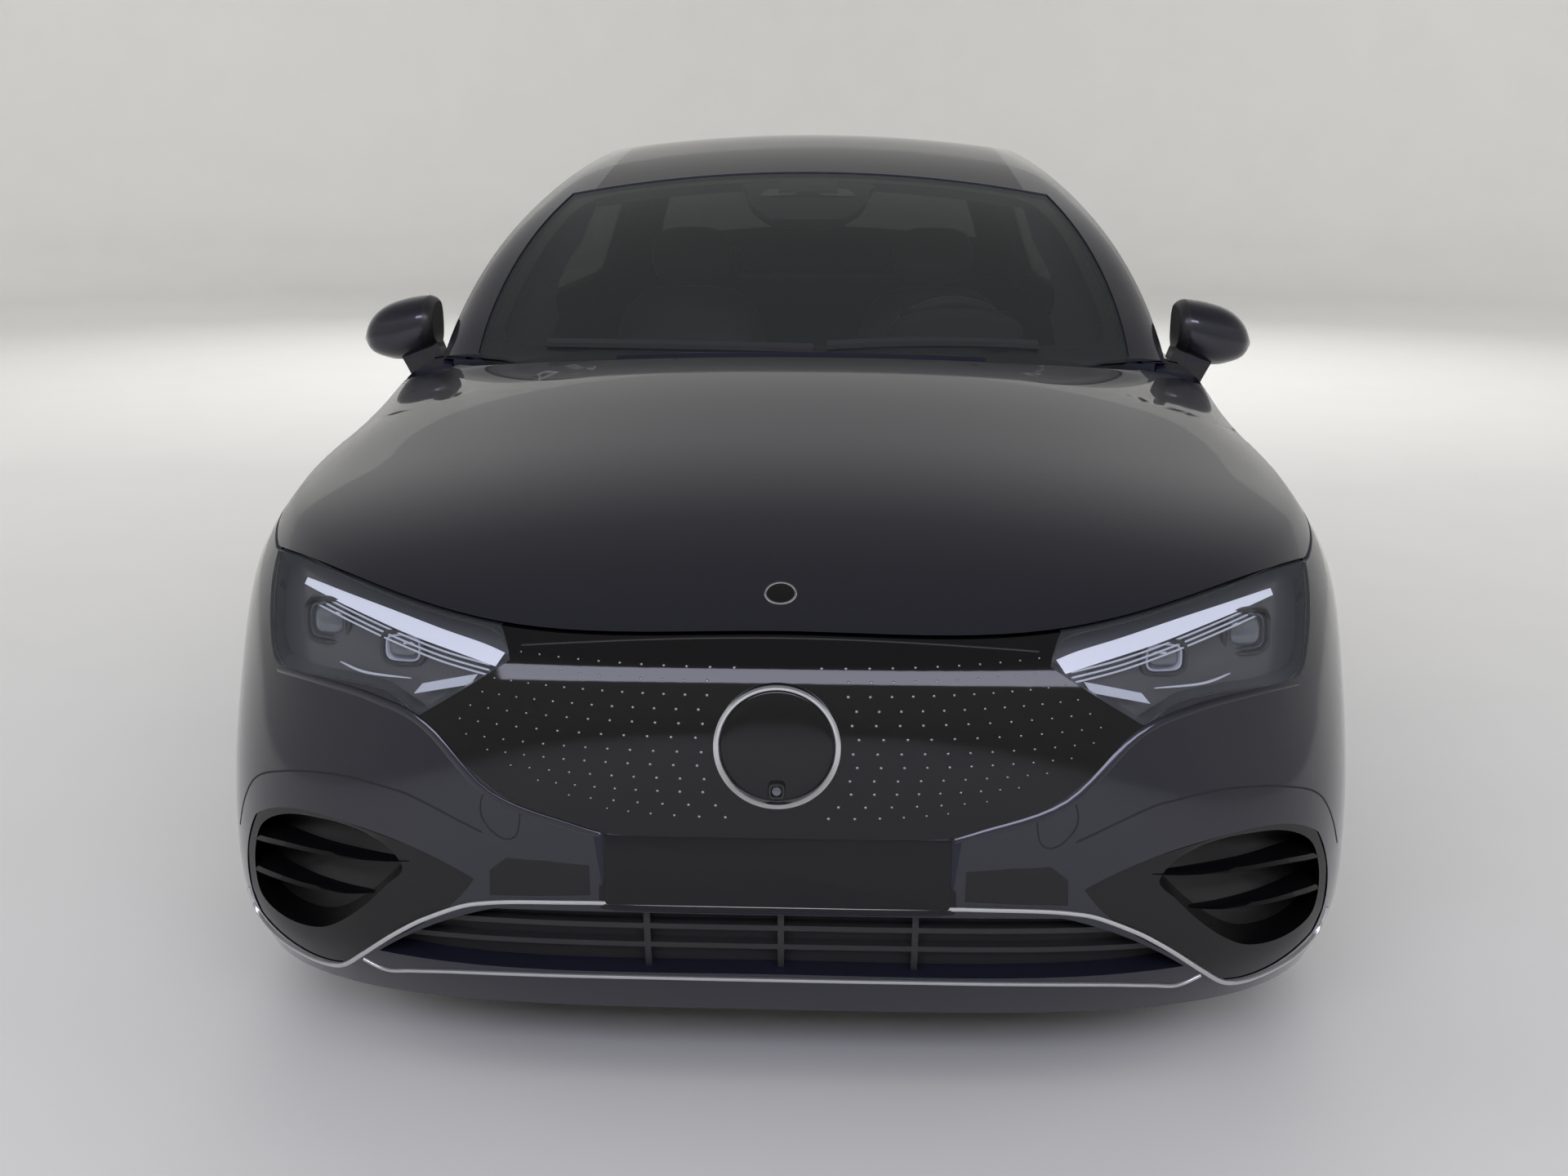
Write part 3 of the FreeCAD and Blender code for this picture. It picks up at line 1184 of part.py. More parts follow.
# Crash beam and cooler behind the front bumper

RAIL_FRONT = 0.0165 * LENGTH
beam = block(-0.62 * HALF_WIDTH, 0.62 * HALF_WIDTH, -OVERRUN, 0.070 * LENGTH, 0.300 * HEIGHT, 0.380 * HEIGHT)
beam = beam.common(beam_core).cut(lower_body(size("bumper_wall") + size("pillar_wall")))
cooler = block(-0.40 * HALF_WIDTH, 0.40 * HALF_WIDTH, 0.0640 * LENGTH, 0.0740 * LENGTH, 0.135 * HEIGHT,
               0.455 * HEIGHT)
rails = [block(x0 * HALF_WIDTH, x1 * HALF_WIDTH, RAIL_FRONT, BAY_WALL, 0.310 * HEIGHT,
               0.370 * HEIGHT).common(front_zone_small) for x0, x1 in ((-0.42, -0.36), (0.36, 0.42))]
front_beam = beam.fuse([cooler] + rails)
add_node("front_beam", front_beam)
bay_cover = block(-BAY_HALF + SEAT, BAY_HALF - SEAT, BAY_FRONT + SEAT, BAY_BACK - SEAT, COVER_LOW + SEAT,
                  COVER_LOW + 0.0150 * HEIGHT)
add_node("bay_cover", bay_cover)

# Battery pack, drive unit and axles

battery = doc.addObject("Part::Box", "battery_pack")
battery.setExpression("Length", "sizes.battery_width")
battery.setExpression("Width", "sizes.battery_length")
battery.setExpression("Height", "sizes.battery_height")
battery.Placement = Placement(at_point(-battery_half, battery_front, size("battery_bottom")), Rotation())
add_object("battery_pack", battery)


def rounded_block(x0, x1, s0, s1, z0, z1, radius):
    solid = block(x0, x1, s0, s1, z0, z1)
    return solid.makeFillet(radius, solid.Edges)


motor = cylinder_x(0.115 * HEIGHT, -0.20 * HALF_WIDTH, 0.24 * HALF_WIDTH, REAR_AXLE + 0.005 * LENGTH, AXLE_Z)
gearbox = block(-0.20 * HALF_WIDTH, -0.04 * HALF_WIDTH, REAR_AXLE - 0.045 * LENGTH, REAR_AXLE + 0.03 * LENGTH,
                0.14 * HEIGHT, 0.31 * HEIGHT)
SHAFT_R = 0.0095 * HEIGHT
shaft_end = REAR_WHEEL_X - 0.062 * WIDTH
shafts = cylinder_x(SHAFT_R, -shaft_end, shaft_end, REAR_AXLE, AXLE_Z)
joints = [cylinder_x(0.030 * HEIGHT, x0, x0 + 0.06 * HALF_WIDTH, REAR_AXLE, AXLE_Z)
          for x0 in (-0.30 * HALF_WIDTH, 0.26 * HALF_WIDTH)]
cradle = [block(-0.62 * HALF_WIDTH, 0.62 * HALF_WIDTH, s * LENGTH, (s + 0.012) * LENGTH, 0.300 * HEIGHT,
                DRIVE_TOP + GAP) for s in (0.745, 0.850)]
mounts = [block(x0 * HALF_WIDTH, (x0 + 0.05) * HALF_WIDTH, s0 * LENGTH, s1 * LENGTH, 0.250 * HEIGHT,
                0.315 * HEIGHT) for x0 in (-0.18, 0.10) for s0, s1 in ((0.745, 0.800), (0.820, 0.862))]
drive_unit = motor.fuse([gearbox, shafts] + joints + cradle + mounts)
drive_unit = drive_unit.common(block(-WIDTH, WIDTH, 0, LENGTH, 0, DRIVE_TOP - SEAT))
add_node("drive_unit", largest_solid(drive_unit))

# Wheels: tyre, rim and brake disc, as revolved profiles about the axle


def sketch_outline(body, name, points, plane_role):
    """A closed sketch of straight lines whose corners are bound to expressions of the sheet's sizes."""
    sketch = body.newObject("Sketcher::SketchObject", name)
    plane = [feature for feature in body.Origin.OriginFeatures if feature.Role == plane_role][0]
    sketch.AttachmentSupport = [(plane, "")]
    sketch.MapMode = "FlatFace"
    values = [(evaluate(u), evaluate(v)) for u, v in points]
    count = len(values)
    for i in range(count):
        start = Vector(values[i][0], values[i][1], 0)
        end = Vector(values[(i + 1) % count][0], values[(i + 1) % count][1], 0)
        sketch.addGeometry(Part.LineSegment(start, end))
    for i in range(count):
        sketch.addConstraint(Sketcher.Constraint("Coincident", i, 2, (i + 1) % count, 1))
    for i, (u, v) in enumerate(points):
        for kind, expression, value in (("DistanceX", u, values[i][0]), ("DistanceY", v, values[i][1])):
            mark = sketch.addConstraint(Sketcher.Constraint(kind, -1, 1, i, 1, value))
            sketch.setExpression("Constraints[%d]" % mark, expression)
    return sketch


def evaluate(expression):
    """Value of an expression such as sizes.rim_diameter / 2."""
    return float(sheet.evalExpression(expression.replace("sizes.", "")))


def revolved_body(label, points):
    """A body turned about the X axis from a half section given as (along the axle, radius)."""
    body = doc.addObject("PartDesign::Body", label)
    sketch = sketch_outline(body, label + "_section", points, "XY_Plane")
    turned = body.newObject("PartDesign::Revolution", label + "_turned")
    turned.Profile = sketch
    turned.ReferenceAxis = (sketch, ["H_Axis"])
    turned.Angle = 360
    doc.recompute()
    return body


TYRE_SECTION = [
    ("-sizes.rim_width / 2", "sizes.rim_diameter / 2 + sizes.seat_gap"),
    ("-sizes.tyre_width / 2", "sizes.rim_diameter / 4 + sizes.tyre_diameter / 4 - sizes.tyre_sidewall_swell"),
    ("-sizes.tyre_width / 2 + sizes.tyre_shoulder / 3", "sizes.tyre_diameter / 2 - sizes.tyre_shoulder"),
    ("-sizes.tyre_width / 2 + sizes.tyre_shoulder * 1.6", "sizes.tyre_diameter / 2"),
    ("sizes.tyre_width / 2 - sizes.tyre_shoulder * 1.6", "sizes.tyre_diameter / 2"),
    ("sizes.tyre_width / 2 - sizes.tyre_shoulder / 3", "sizes.tyre_diameter / 2 - sizes.tyre_shoulder"),
    ("sizes.tyre_width / 2", "sizes.rim_diameter / 4 + sizes.tyre_diameter / 4 - sizes.tyre_sidewall_swell"),
    ("sizes.rim_width / 2", "sizes.rim_diameter / 2 + sizes.seat_gap"),
]
RIM_SECTION = [
    ("-sizes.rim_width / 2", "sizes.rim_diameter / 2 - sizes.rim_wall"),
    ("-sizes.rim_width / 2", "sizes.rim_diameter / 2"),
    ("sizes.rim_width / 2", "sizes.rim_diameter / 2"),
    ("sizes.rim_width / 2", "sizes.rim_diameter / 2 - sizes.rim_wall"),
]

tyre_body = revolved_body("tyre_pattern", TYRE_SECTION)
barrel_body = revolved_body("barrel_pattern", RIM_SECTION)
tyre_solid = tyre_body.Shape.Solids[0]
barrel_solid = barrel_body.Shape.Solids[0]

RIM_R = size("rim_diameter") / 2 - size("rim_wall")
FACE_X = size("rim_width") / 2 - size("rim_face_inset")
DISH = 0.30 * size("rim_width")


def spoke():
    """One tapered spoke from the hub out to the barrel, leaning outwards towards the rim."""
    root = size("spoke_root_width") / 2
    tip = size("spoke_tip_width") / 2
    depth = size("rim_face_depth")
    hub_r = size("hub_diameter") / 2 - size("rim_wall")
    sections = []
    for radius, half, front in ((hub_r, root, FACE_X - DISH * 0.45), (RIM_R * 0.62, tip, FACE_X - DISH * 0.12),
                                (RIM_R + size("rim_wall") / 2, tip, FACE_X)):
        points = [Vector(front - depth, -half, radius), Vector(front, -half * 0.7, radius),
                  Vector(front, half * 0.7, radius), Vector(front - depth, half, radius)]
        sections.append(Part.makePolygon(points + points[:1]))
    return Part.makeLoft(sections, True, True)


def rim_shape():
    """Barrel, hub and paired spokes of the left wheel, centred on its axle."""
    hub = Part.makeCylinder(size("hub_diameter") / 2, size("rim_face_depth") * 1.5,
                            Vector(FACE_X - DISH * 0.45 - size("rim_face_depth") * 1.5, 0, 0), Vector(1, 0, 0))
    parts = [hub]
    count = int(round(size("spoke_count") / 2))
    for i in range(count):
        for lean in (-SPOKE_PAIR_ANGLE, SPOKE_PAIR_ANGLE):
            blade = spoke()
            blade.rotate(Vector(0, 0, 0), Vector(1, 0, 0), 360.0 * i / count + lean)
            parts.append(blade)
    return barrel_solid.fuse(parts)


SPOKE_PAIR_ANGLE = 13.0
rim_solid = rim_shape()
HUB_BACK = FACE_X - DISH * 0.45 - size("rim_face_depth") * 1.5


def disc_shape():
    """Brake disc with its hat, seated against the back of the rim's hub."""
    hat_back = HUB_BACK - size("disc_hat_depth") - size("disc_thickness") / 2
    hat = Part.makeCylinder(size("disc_hat_diameter") / 2, HUB_BACK - SEAT - hat_back,
                            Vector(hat_back, 0, 0), Vector(1, 0, 0))
    ring = Part.makeCylinder(size("disc_diameter") / 2, size("disc_thickness"),
                             Vector(hat_back, 0, 0), Vector(1, 0, 0))
    bore = Part.makeCylinder(size("hub_bore") / 2, WIDTH, Vector(-HALF_WIDTH, 0, 0), Vector(1, 0, 0))
    return hat.fuse(ring).cut(bore), hat_back


disc_solid, DISC_BACK = disc_shape()
rim_solid = rim_solid.cut(Part.makeCylinder(size("hub_bore") / 2, size("rim_face_depth"),
                                            Vector(HUB_BACK, 0, 0), Vector(1, 0, 0)))
WHEELS = (("front", FRONT_WHEEL_X, FRONT_AXLE), ("rear", REAR_WHEEL_X, REAR_AXLE))
for end_name, wheel_x, axle_s in WHEELS:
    for side_name, turn in (("left", keep_solids), ("right", mirrored)):
        for piece_name, piece in (("tyre", tyre_solid), ("rim", rim_solid), ("brake_disc", disc_solid)):
            placed = piece.translated(at_point(wheel_x, axle_s, AXLE_Z))
            add_node("_".join((piece_name, end_name, side_name)), turn(placed))

# Knuckles that carry the front wheels, with their brake calipers

SPINDLE_R = size("hub_bore") / 2 - size("hinge_clearance") * 0.2
BALL_RISE = 0.093 * HEIGHT


def caliper(wheel_x, axle_s, ahead):
    """Caliper that straddles the disc's rim, ahead of or behind the axle."""
    disc_r = size("disc_diameter") / 2
    wide = size("disc_thickness") + 10 * GAP
    solid = block(DISC_BACK - 4.5 * GAP, DISC_BACK - 4.5 * GAP + wide, -disc_r * 1.12, -disc_r * 0.62,
                  -0.055 * HEIGHT, 0.055 * HEIGHT)
    slot = Part.makeCylinder(disc_r + GAP, size("disc_thickness") + 2 * GAP,
                             at_point(DISC_BACK - GAP, 0, 0), Vector(1, 0, 0))
    solid = solid.cut(slot)
    if not ahead:
        solid = solid.mirror(at_point(0, 0, 0), Vector(0, 1, 0))
    return solid.translated(Vector(wheel_x, axle_s, AXLE_Z))


def upright(wheel_x, axle_s, ahead):
    """Spindle, upright and caliper bracket of one wheel on the left."""
    back = wheel_x + DISC_BACK - 2 * GAP
    spindle = cylinder_x(SPINDLE_R, back, wheel_x + HUB_BACK + size("rim_face_depth") * 0.8, axle_s, AXLE_Z)
    carrier = cylinder_x(size("hub_diameter") / 2, back - 0.020 * WIDTH, back, axle_s, AXLE_Z)
    web = block(back - 0.020 * WIDTH, back, axle_s - 0.008 * LENGTH, axle_s + 0.008 * LENGTH,
                AXLE_Z - BALL_RISE, AXLE_Z + BALL_RISE)
    sign = -1 if ahead else 1
    reach = size("disc_diameter") / 2 * 0.9
    bracket = block(back - 0.010 * WIDTH, back, min(axle_s, axle_s + sign * reach), max(axle_s, axle_s + sign * reach),
                    AXLE_Z - 0.02 * HEIGHT, AXLE_Z + 0.02 * HEIGHT)
    return spindle.fuse([carrier, web, bracket, caliper(wheel_x, axle_s, ahead)])


knuckle = upright(FRONT_WHEEL_X, FRONT_AXLE, True)
add_node("knuckle_left", largest_solid(knuckle))
add_node("knuckle_right", mirrored(largest_solid(knuckle)))

# Suspension arms on the body

def arms(wheel_x, axle_s, inner_x, spread_s, seat_gap):
    """Upper and lower wishbones on one side, from the body to the upright's ball joints."""
    back = wheel_x + DISC_BACK - 2 * GAP
    outer_x = back - 0.010 * WIDTH
    solids = []
    for height in (AXLE_Z - BALL_RISE - ARM_R - seat_gap, AXLE_Z + BALL_RISE + ARM_R + seat_gap):
        tip = at_point(outer_x, axle_s, height)
        for along in (-spread_s, spread_s):
            foot = at_point(inner_x, axle_s + along, height)
            solids.append(tube_between(tip, foot, ARM_R))
        solids.append(Part.makeSphere(ARM_R, tip))
    return solids


ARM_R = 0.010 * HEIGHT
FRONT_ARM_FOOT = BAY_HALF - 0.03 * HALF_WIDTH
front_solids = arms(FRONT_WHEEL_X, FRONT_AXLE, FRONT_ARM_FOOT, 0.026 * LENGTH, SEAT)
cross = [block(-FRONT_ARM_FOOT - GAP, FRONT_ARM_FOOT + GAP, FRONT_AXLE + s * LENGTH, FRONT_AXLE + (s + 0.012) * LENGTH,
               0.120 * HEIGHT, 0.160 * HEIGHT) for s in (-0.032, 0.020)]
towers = [block(x0, x0 + 0.05 * HALF_WIDTH, FRONT_AXLE - 0.034 * LENGTH, FRONT_AXLE + 0.034 * LENGTH,
                0.120 * HEIGHT, 0.270 * HEIGHT - SEAT)
          for x0 in (FRONT_ARM_FOOT - 0.04 * HALF_WIDTH, -FRONT_ARM_FOOT - 0.01 * HALF_WIDTH)]
front_suspension = cross[0].fuse(cross[1:] + towers + front_solids[:3] + [mirrored(s) for s in front_solids[:3]])
add_node("front_suspension", front_suspension)
rear_upright = upright(REAR_WHEEL_X, REAR_AXLE, False)
rear_solids = arms(REAR_WHEEL_X, REAR_AXLE, 0.55 * HALF_WIDTH, 0.026 * LENGTH, -ARM_R)
rear_side = rear_upright.fuse(rear_solids).cut(cylinder_x(SHAFT_R + 3 * GAP, -WIDTH, shaft_end + GAP, REAR_AXLE, AXLE_Z))
rear_side = largest_solid(rear_side)
add_node("rear_suspension", Part.makeCompound([rear_side, mirrored(rear_side)]))

# Outer mirrors on the front doors: a lofted head with a flat back, on a wedge that stands on the door's shoulder

MIRROR_S = 0.3310 * LENGTH
MIRROR_TIP = size("mirror_span") / 2
# share of the reach from the tip inwards, lower and upper edge in shares of the height, depth ahead in shares of it
MIRROR_SHARES = [
    (0.00, 0.6620, 0.6740, 0.012),
    (0.04, 0.6540, 0.6860, 0.022),
    (0.12, 0.6450, 0.7020, 0.036),
    (0.28, 0.6380, 0.7180, 0.048),
    (0.52, 0.6360, 0.7290, 0.056),
    (0.78, 0.6480, 0.7350, 0.060),
    (0.94, 0.6560, 0.7330, 0.058),
    (1.00, 0.6620, 0.7260, 0.052),
]
MIRROR_BACK_SHARE = 0.35
MIRROR_SQUARENESS = 2.4
MIRROR_STEPS = 20


def mirror_section(share, low, high, depth):
    """One closed section of the head across the car's side: round ahead, flatter behind."""
    across = MIRROR_TIP - share * size("mirror_reach")
    middle = (low + high) / 2 * HEIGHT
    half = (high - low) / 2 * HEIGHT
    points = []
    for i in range(MIRROR_STEPS):
        turn = 2 * math.pi * i / MIRROR_STEPS
        along, up = [math.copysign(abs(w) ** (2 / MIRROR_SQUARENESS), w) for w in (math.cos(turn), math.sin(turn))]
        ahead = depth * HEIGHT * (1 if along < 0 else MIRROR_BACK_SHARE)
        points.append(at_point(across, MIRROR_S + ahead * along, middle + half * up))
    curve = Part.BSplineCurve()
    curve.interpolate(Points=points, PeriodicFlag=True)
    return Part.Wire(curve.toShape())


def mirror_shape():
    head = Part.makeLoft([mirror_section(*line) for line in MIRROR_SHARES], True, False)
    foot = []
    for x0, x1, s0, s1, z in ((0.900, 0.968, -0.024, 0.004, 0.585), (0.905, 1.010, -0.030, 0.009, 0.645),
                              (0.930, 1.045, -0.026, 0.012, 0.680)):
        corners = [at_point(x0 * HALF_WIDTH, MIRROR_S + s0 * HEIGHT, z * HEIGHT),
                   at_point(x1 * HALF_WIDTH, MIRROR_S + s0 * HEIGHT, z * HEIGHT),
                   at_point(x1 * HALF_WIDTH, MIRROR_S + s1 * HEIGHT, z * HEIGHT),
                   at_point(x0 * HALF_WIDTH, MIRROR_S + s1 * HEIGHT, z * HEIGHT)]
        foot.append(Part.makePolygon(corners + corners[:1]))
    stalk = Part.makeLoft(foot, True, False)
    return head.fuse(stalk).cut(lower_body(-SEAT).fuse(greenhouse(-SEAT)))


mirror_solid = largest_solid(mirror_shape())
add_node("mirror_left", mirror_solid)
add_node("mirror_right", mirrored(mirror_solid))

# Cabin: dashboard, console, seats, steering wheel, inner mirror

TRIM_HALF = DOOR_IN - 2 * GAP
DASH_TOP_HALF = 0.770 * HALF_WIDTH
dash_runs = closed_runs([
    (0.2800, 0.4100), (0.2800, 0.6480), (0.3080, 0.6620), (0.3420, 0.6560), (0.3640, 0.6350), (0.3700, 0.5900),
    (0.3600, 0.4700), (0.3360, 0.4100)])
dash = side_prism(dash_runs, -TRIM_HALF, TRIM_HALF).common(
    block(-TRIM_HALF, TRIM_HALF, CABIN_FRONT + SEAT, LENGTH, 0, 0.6500 * HEIGHT).fuse(
        block(-DASH_TOP_HALF, DASH_TOP_HALF, CABIN_FRONT + SEAT, LENGTH, 0, HEIGHT)))
COLUMN_TILT = 25.0
wheel_middle = at_point(size("steering_wheel_side"), 0.3900 * LENGTH, 0.6150 * HEIGHT)
column_axis = Vector(0, math.cos(math.radians(COLUMN_TILT)), math.sin(math.radians(COLUMN_TILT)))
column_r = size("steering_wheel_grip") * 0.9
column = Part.makeCylinder(column_r, 0.055 * LENGTH, wheel_middle - column_axis * (0.055 * LENGTH + 1.5 * GAP * 4),
                           column_axis)
dashboard = dash.fuse(column)
add_node("dashboard", dashboard)
wheel_r = size("steering_wheel_diameter") / 2 - size("steering_wheel_grip") / 2
grip_r = size("steering_wheel_grip") / 2
ring = Part.makeTorus(wheel_r, grip_r, wheel_middle, column_axis)
boss = Part.makeCylinder(0.36 * wheel_r, 2.2 * grip_r, wheel_middle - column_axis * (1.3 * grip_r), column_axis)
stub_length = 4 * 1.5 * GAP - 1.3 * grip_r - SEAT
stub = Part.makeCylinder(column_r * 0.8, stub_length, wheel_middle - column_axis * (1.3 * grip_r + stub_length),
                         column_axis)
level_bar = Part.makeBox(2 * wheel_r, 1.1 * grip_r, 2 * grip_r, Vector(-wheel_r, -0.55 * grip_r, -grip_r))
down_bar = Part.makeBox(2 * grip_r, 1.1 * grip_r, wheel_r, Vector(-grip_r, -0.55 * grip_r, -wheel_r))
bars = level_bar.fuse(down_bar)
bars.rotate(Vector(0, 0, 0), Vector(1, 0, 0), COLUMN_TILT)
steering_wheel = ring.fuse([boss, stub, bars.translated(wheel_middle)])
add_node("steering_wheel", steering_wheel)
console = rounded_block(-0.105 * HALF_WIDTH, 0.105 * HALF_WIDTH, 0.3650 * LENGTH, 0.5500 * LENGTH, FLOOR_Z + SEAT,
                        0.4150 * HEIGHT, 3 * GAP)
add_node("centre_console", console)


def leaning_block(x0, x1, low, high, thickness, round_radius):
    """A seat back between two (place behind the nose, height) ends."""
    points = [at_point(x0, low[0], low[1]), at_point(x0, low[0] + thickness, low[1]),
              at_point(x0, high[0] + 0.7 * thickness, high[1]), at_point(x0, high[0], high[1])]
    solid = Part.Face(Part.makePolygon(points + points[:1])).extrude(Vector(x1 - x0, 0, 0))
    return solid.makeFillet(round_radius, solid.Edges)


def seat(x_middle, half):
    cushion = rounded_block(x_middle - half, x_middle + half, 0.4200 * LENGTH, 0.5260 * LENGTH, 0.2350 * HEIGHT,
                            0.3750 * HEIGHT, 6 * GAP)
    base = block(x_middle - 0.8 * half, x_middle + 0.8 * half, 0.4400 * LENGTH, 0.5200 * LENGTH, FLOOR_Z + SEAT,
                 0.3000 * HEIGHT)
    back = leaning_block(x_middle - half, x_middle + half, (0.5100 * LENGTH, 0.3400 * HEIGHT),
                         (0.5440 * LENGTH, 0.7150 * HEIGHT), 0.0280 * LENGTH, 5 * GAP)
    head = leaning_block(x_middle - 0.5 * half, x_middle + 0.5 * half, (0.5420 * LENGTH, 0.7000 * HEIGHT),
                         (0.5500 * LENGTH, 0.8250 * HEIGHT), 0.0200 * LENGTH, 4 * GAP)
    return cushion.fuse([base, back, head])


SEAT_HALF = 0.270 * HALF_WIDTH
seat_left = largest_solid(seat(size("steering_wheel_side"), SEAT_HALF))
add_node("front_seats", Part.makeCompound([seat_left, mirrored(seat_left)]))
BENCH_HALF = boot_half - 2 * GAP
bench = rounded_block(-BENCH_HALF, BENCH_HALF, 0.6120 * LENGTH, 0.7180 * LENGTH, FLOOR_Z + SEAT, 0.3900 * HEIGHT,
                      5 * GAP)
bench = bench.fuse(leaning_block(-BENCH_HALF, BENCH_HALF, (0.7060 * LENGTH, 0.3750 * HEIGHT),
                                 (0.7400 * LENGTH, 0.6900 * HEIGHT), 0.0280 * LENGTH, 5 * GAP))
for x in (-0.40, 0.40):
    bench = bench.fuse(leaning_block((x - 0.13) * HALF_WIDTH, (x + 0.13) * HALF_WIDTH,
                                     (0.7400 * LENGTH, 0.6700 * HEIGHT), (0.7480 * LENGTH, 0.7600 * HEIGHT),
                                     0.0180 * LENGTH, 4 * GAP))
add_node("rear_bench", bench)
SENSOR_S = (0.4150, 0.4370)


def under_glass(across, behind, drop):
    return at_point(across, behind, roof_z(across, behind) - drop)


housing_half = 0.080 * HALF_WIDTH
sensor = height_field(roof_z, spread(SENSOR_S[0] * LENGTH, SENSOR_S[1] * LENGTH, 5),
                      spread(-housing_half, housing_half, 5), glass_back + SEAT)
sensor = sensor.cut(height_field(roof_z, spread(0.40 * LENGTH, 0.45 * LENGTH, 5),
                                 spread(-0.2 * HALF_WIDTH, 0.2 * HALF_WIDTH, 5), glass_back + 0.030 * HEIGHT))
glass_mirror = rounded_block(-0.128 * HALF_WIDTH, 0.128 * HALF_WIDTH, 0.4330 * LENGTH, 0.4380 * LENGTH,
                             0.8500 * HEIGHT, 0.8960 * HEIGHT, GAP)
add_node("inner_mirror", largest_solid(sensor.fuse(glass_mirror)))

# Wipers at the foot of the windscreen: each an arm and a blade that follow the glass

WIPER_TALL = 0.0050 * HEIGHT
WIPER_HALF = 0.0045 * HEIGHT
WIPER_SHARES = (
    [(-0.60, 0.2800), (-0.24, 0.2660), (0.03, 0.2620)],
    [(0.06, 0.2640), (0.28, 0.2700), (0.55, 0.2780)],
)
wiper_layer = greenhouse(-WIPER_TALL).cut(greenhouse(size("glass_inset") - SEAT))
wiper_parts = []
for line in WIPER_SHARES:
    ahead = offset_curve(line, 0, -WIPER_HALF / LENGTH)
    behind = list(reversed(offset_curve(line, 0, WIPER_HALF / LENGTH)))
    strip = plan_prism([ahead, [ahead[-1], behind[0]], behind, [behind[-1], ahead[0]]], 0.6 * HEIGHT, HEIGHT)
    wiper_parts.append(largest_solid(wiper_layer.common(strip)))
add_node("wipers", Part.makeCompound(wiper_parts))
add_node("number_plates", plates)

doc.recompute()
os.makedirs("parts", exist_ok=True)
for feature in doc.Objects:
    if "Invalid" in feature.State or "Error" in feature.State:
        raise RuntimeError("failed object: " + feature.Label)
for feature in NODES:
    if feature.Shape.isNull() or not feature.Shape.isValid():
        raise RuntimeError("bad shape: " + feature.Label)
for feature in NODES:
    feature.Shape.exportStep(os.path.join("parts", feature.Label + ".step"))
print(len(NODES), "nodes,", sum(len(feature.Shape.Faces) for feature in NODES), "faces")
print("several solids:", [(f.Label, len(f.Shape.Solids)) for f in NODES if len(f.Shape.Solids) > 1])
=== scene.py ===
import bpy
import bmesh
import json
import math
import numpy as np
from mathutils import Matrix, Vector


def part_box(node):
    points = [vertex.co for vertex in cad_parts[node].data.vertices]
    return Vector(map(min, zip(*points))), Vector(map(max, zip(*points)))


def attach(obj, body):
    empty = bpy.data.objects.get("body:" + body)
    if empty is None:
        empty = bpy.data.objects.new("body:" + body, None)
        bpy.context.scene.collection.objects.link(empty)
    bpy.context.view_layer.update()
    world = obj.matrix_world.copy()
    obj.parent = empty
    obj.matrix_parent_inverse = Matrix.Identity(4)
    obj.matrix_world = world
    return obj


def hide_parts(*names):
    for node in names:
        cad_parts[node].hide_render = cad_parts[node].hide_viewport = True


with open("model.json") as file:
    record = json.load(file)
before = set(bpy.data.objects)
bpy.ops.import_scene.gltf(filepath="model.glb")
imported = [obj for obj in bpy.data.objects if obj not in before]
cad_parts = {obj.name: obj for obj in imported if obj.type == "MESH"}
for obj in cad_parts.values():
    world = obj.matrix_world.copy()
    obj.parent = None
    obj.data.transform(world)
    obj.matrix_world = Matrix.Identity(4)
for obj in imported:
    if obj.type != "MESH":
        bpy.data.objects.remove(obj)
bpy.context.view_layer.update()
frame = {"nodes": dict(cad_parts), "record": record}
NODES = frame["nodes"]
RECORD = frame["record"]
scene = bpy.context.scene
BODY_OF = {n: b for b, names in RECORD["behaviour"]["bodies"].items() for n in names}

# Body form, the same tables as the CAD source

L, W, H = 4946.0, 1906.0, 1510.0
HW = W / 2
NOSE_ROUND, TAIL_ROUND, TAIL_POWER = 700.0, 620.0, 2.8
WAIST_Z = 860.0
# At each height share: set-back of nose and tail, of the front and rear sides, and the nose's power
LEVELS = np.array([
    (0.1060, 0.0101, 0.0182, 0.0131, 0.0210, 3.8), (0.1523, 0.0049, 0.0111, 0.0063, 0.0115, 3.9),
    (0.2185, 0.0016, 0.0060, 0.0031, 0.0052, 3.8), (0.2980, 0.0000, 0.0016, 0.0010, 0.0010, 3.4),
    (0.3974, 0.0004, 0.0000, 0.0000, 0.0000, 2.8), (0.4636, 0.0049, 0.0012, 0.0026, 0.0010, 2.6),
    (0.5166, 0.0162, 0.0044, 0.0105, 0.0037, 2.6), (0.5629, 0.0344, 0.0101, 0.0273, 0.0105, 2.6),
    (0.6093, 0.0586, 0.0172, 0.0525, 0.0241, 2.6), (0.6556, 0.0910, 0.0253, 0.0866, 0.0483, 2.6),
    (0.7020, 0.1294, 0.0364, 0.1260, 0.0813, 2.6), (0.7550, 0.1820, 0.0526, 0.1780, 0.1260, 2.6)])
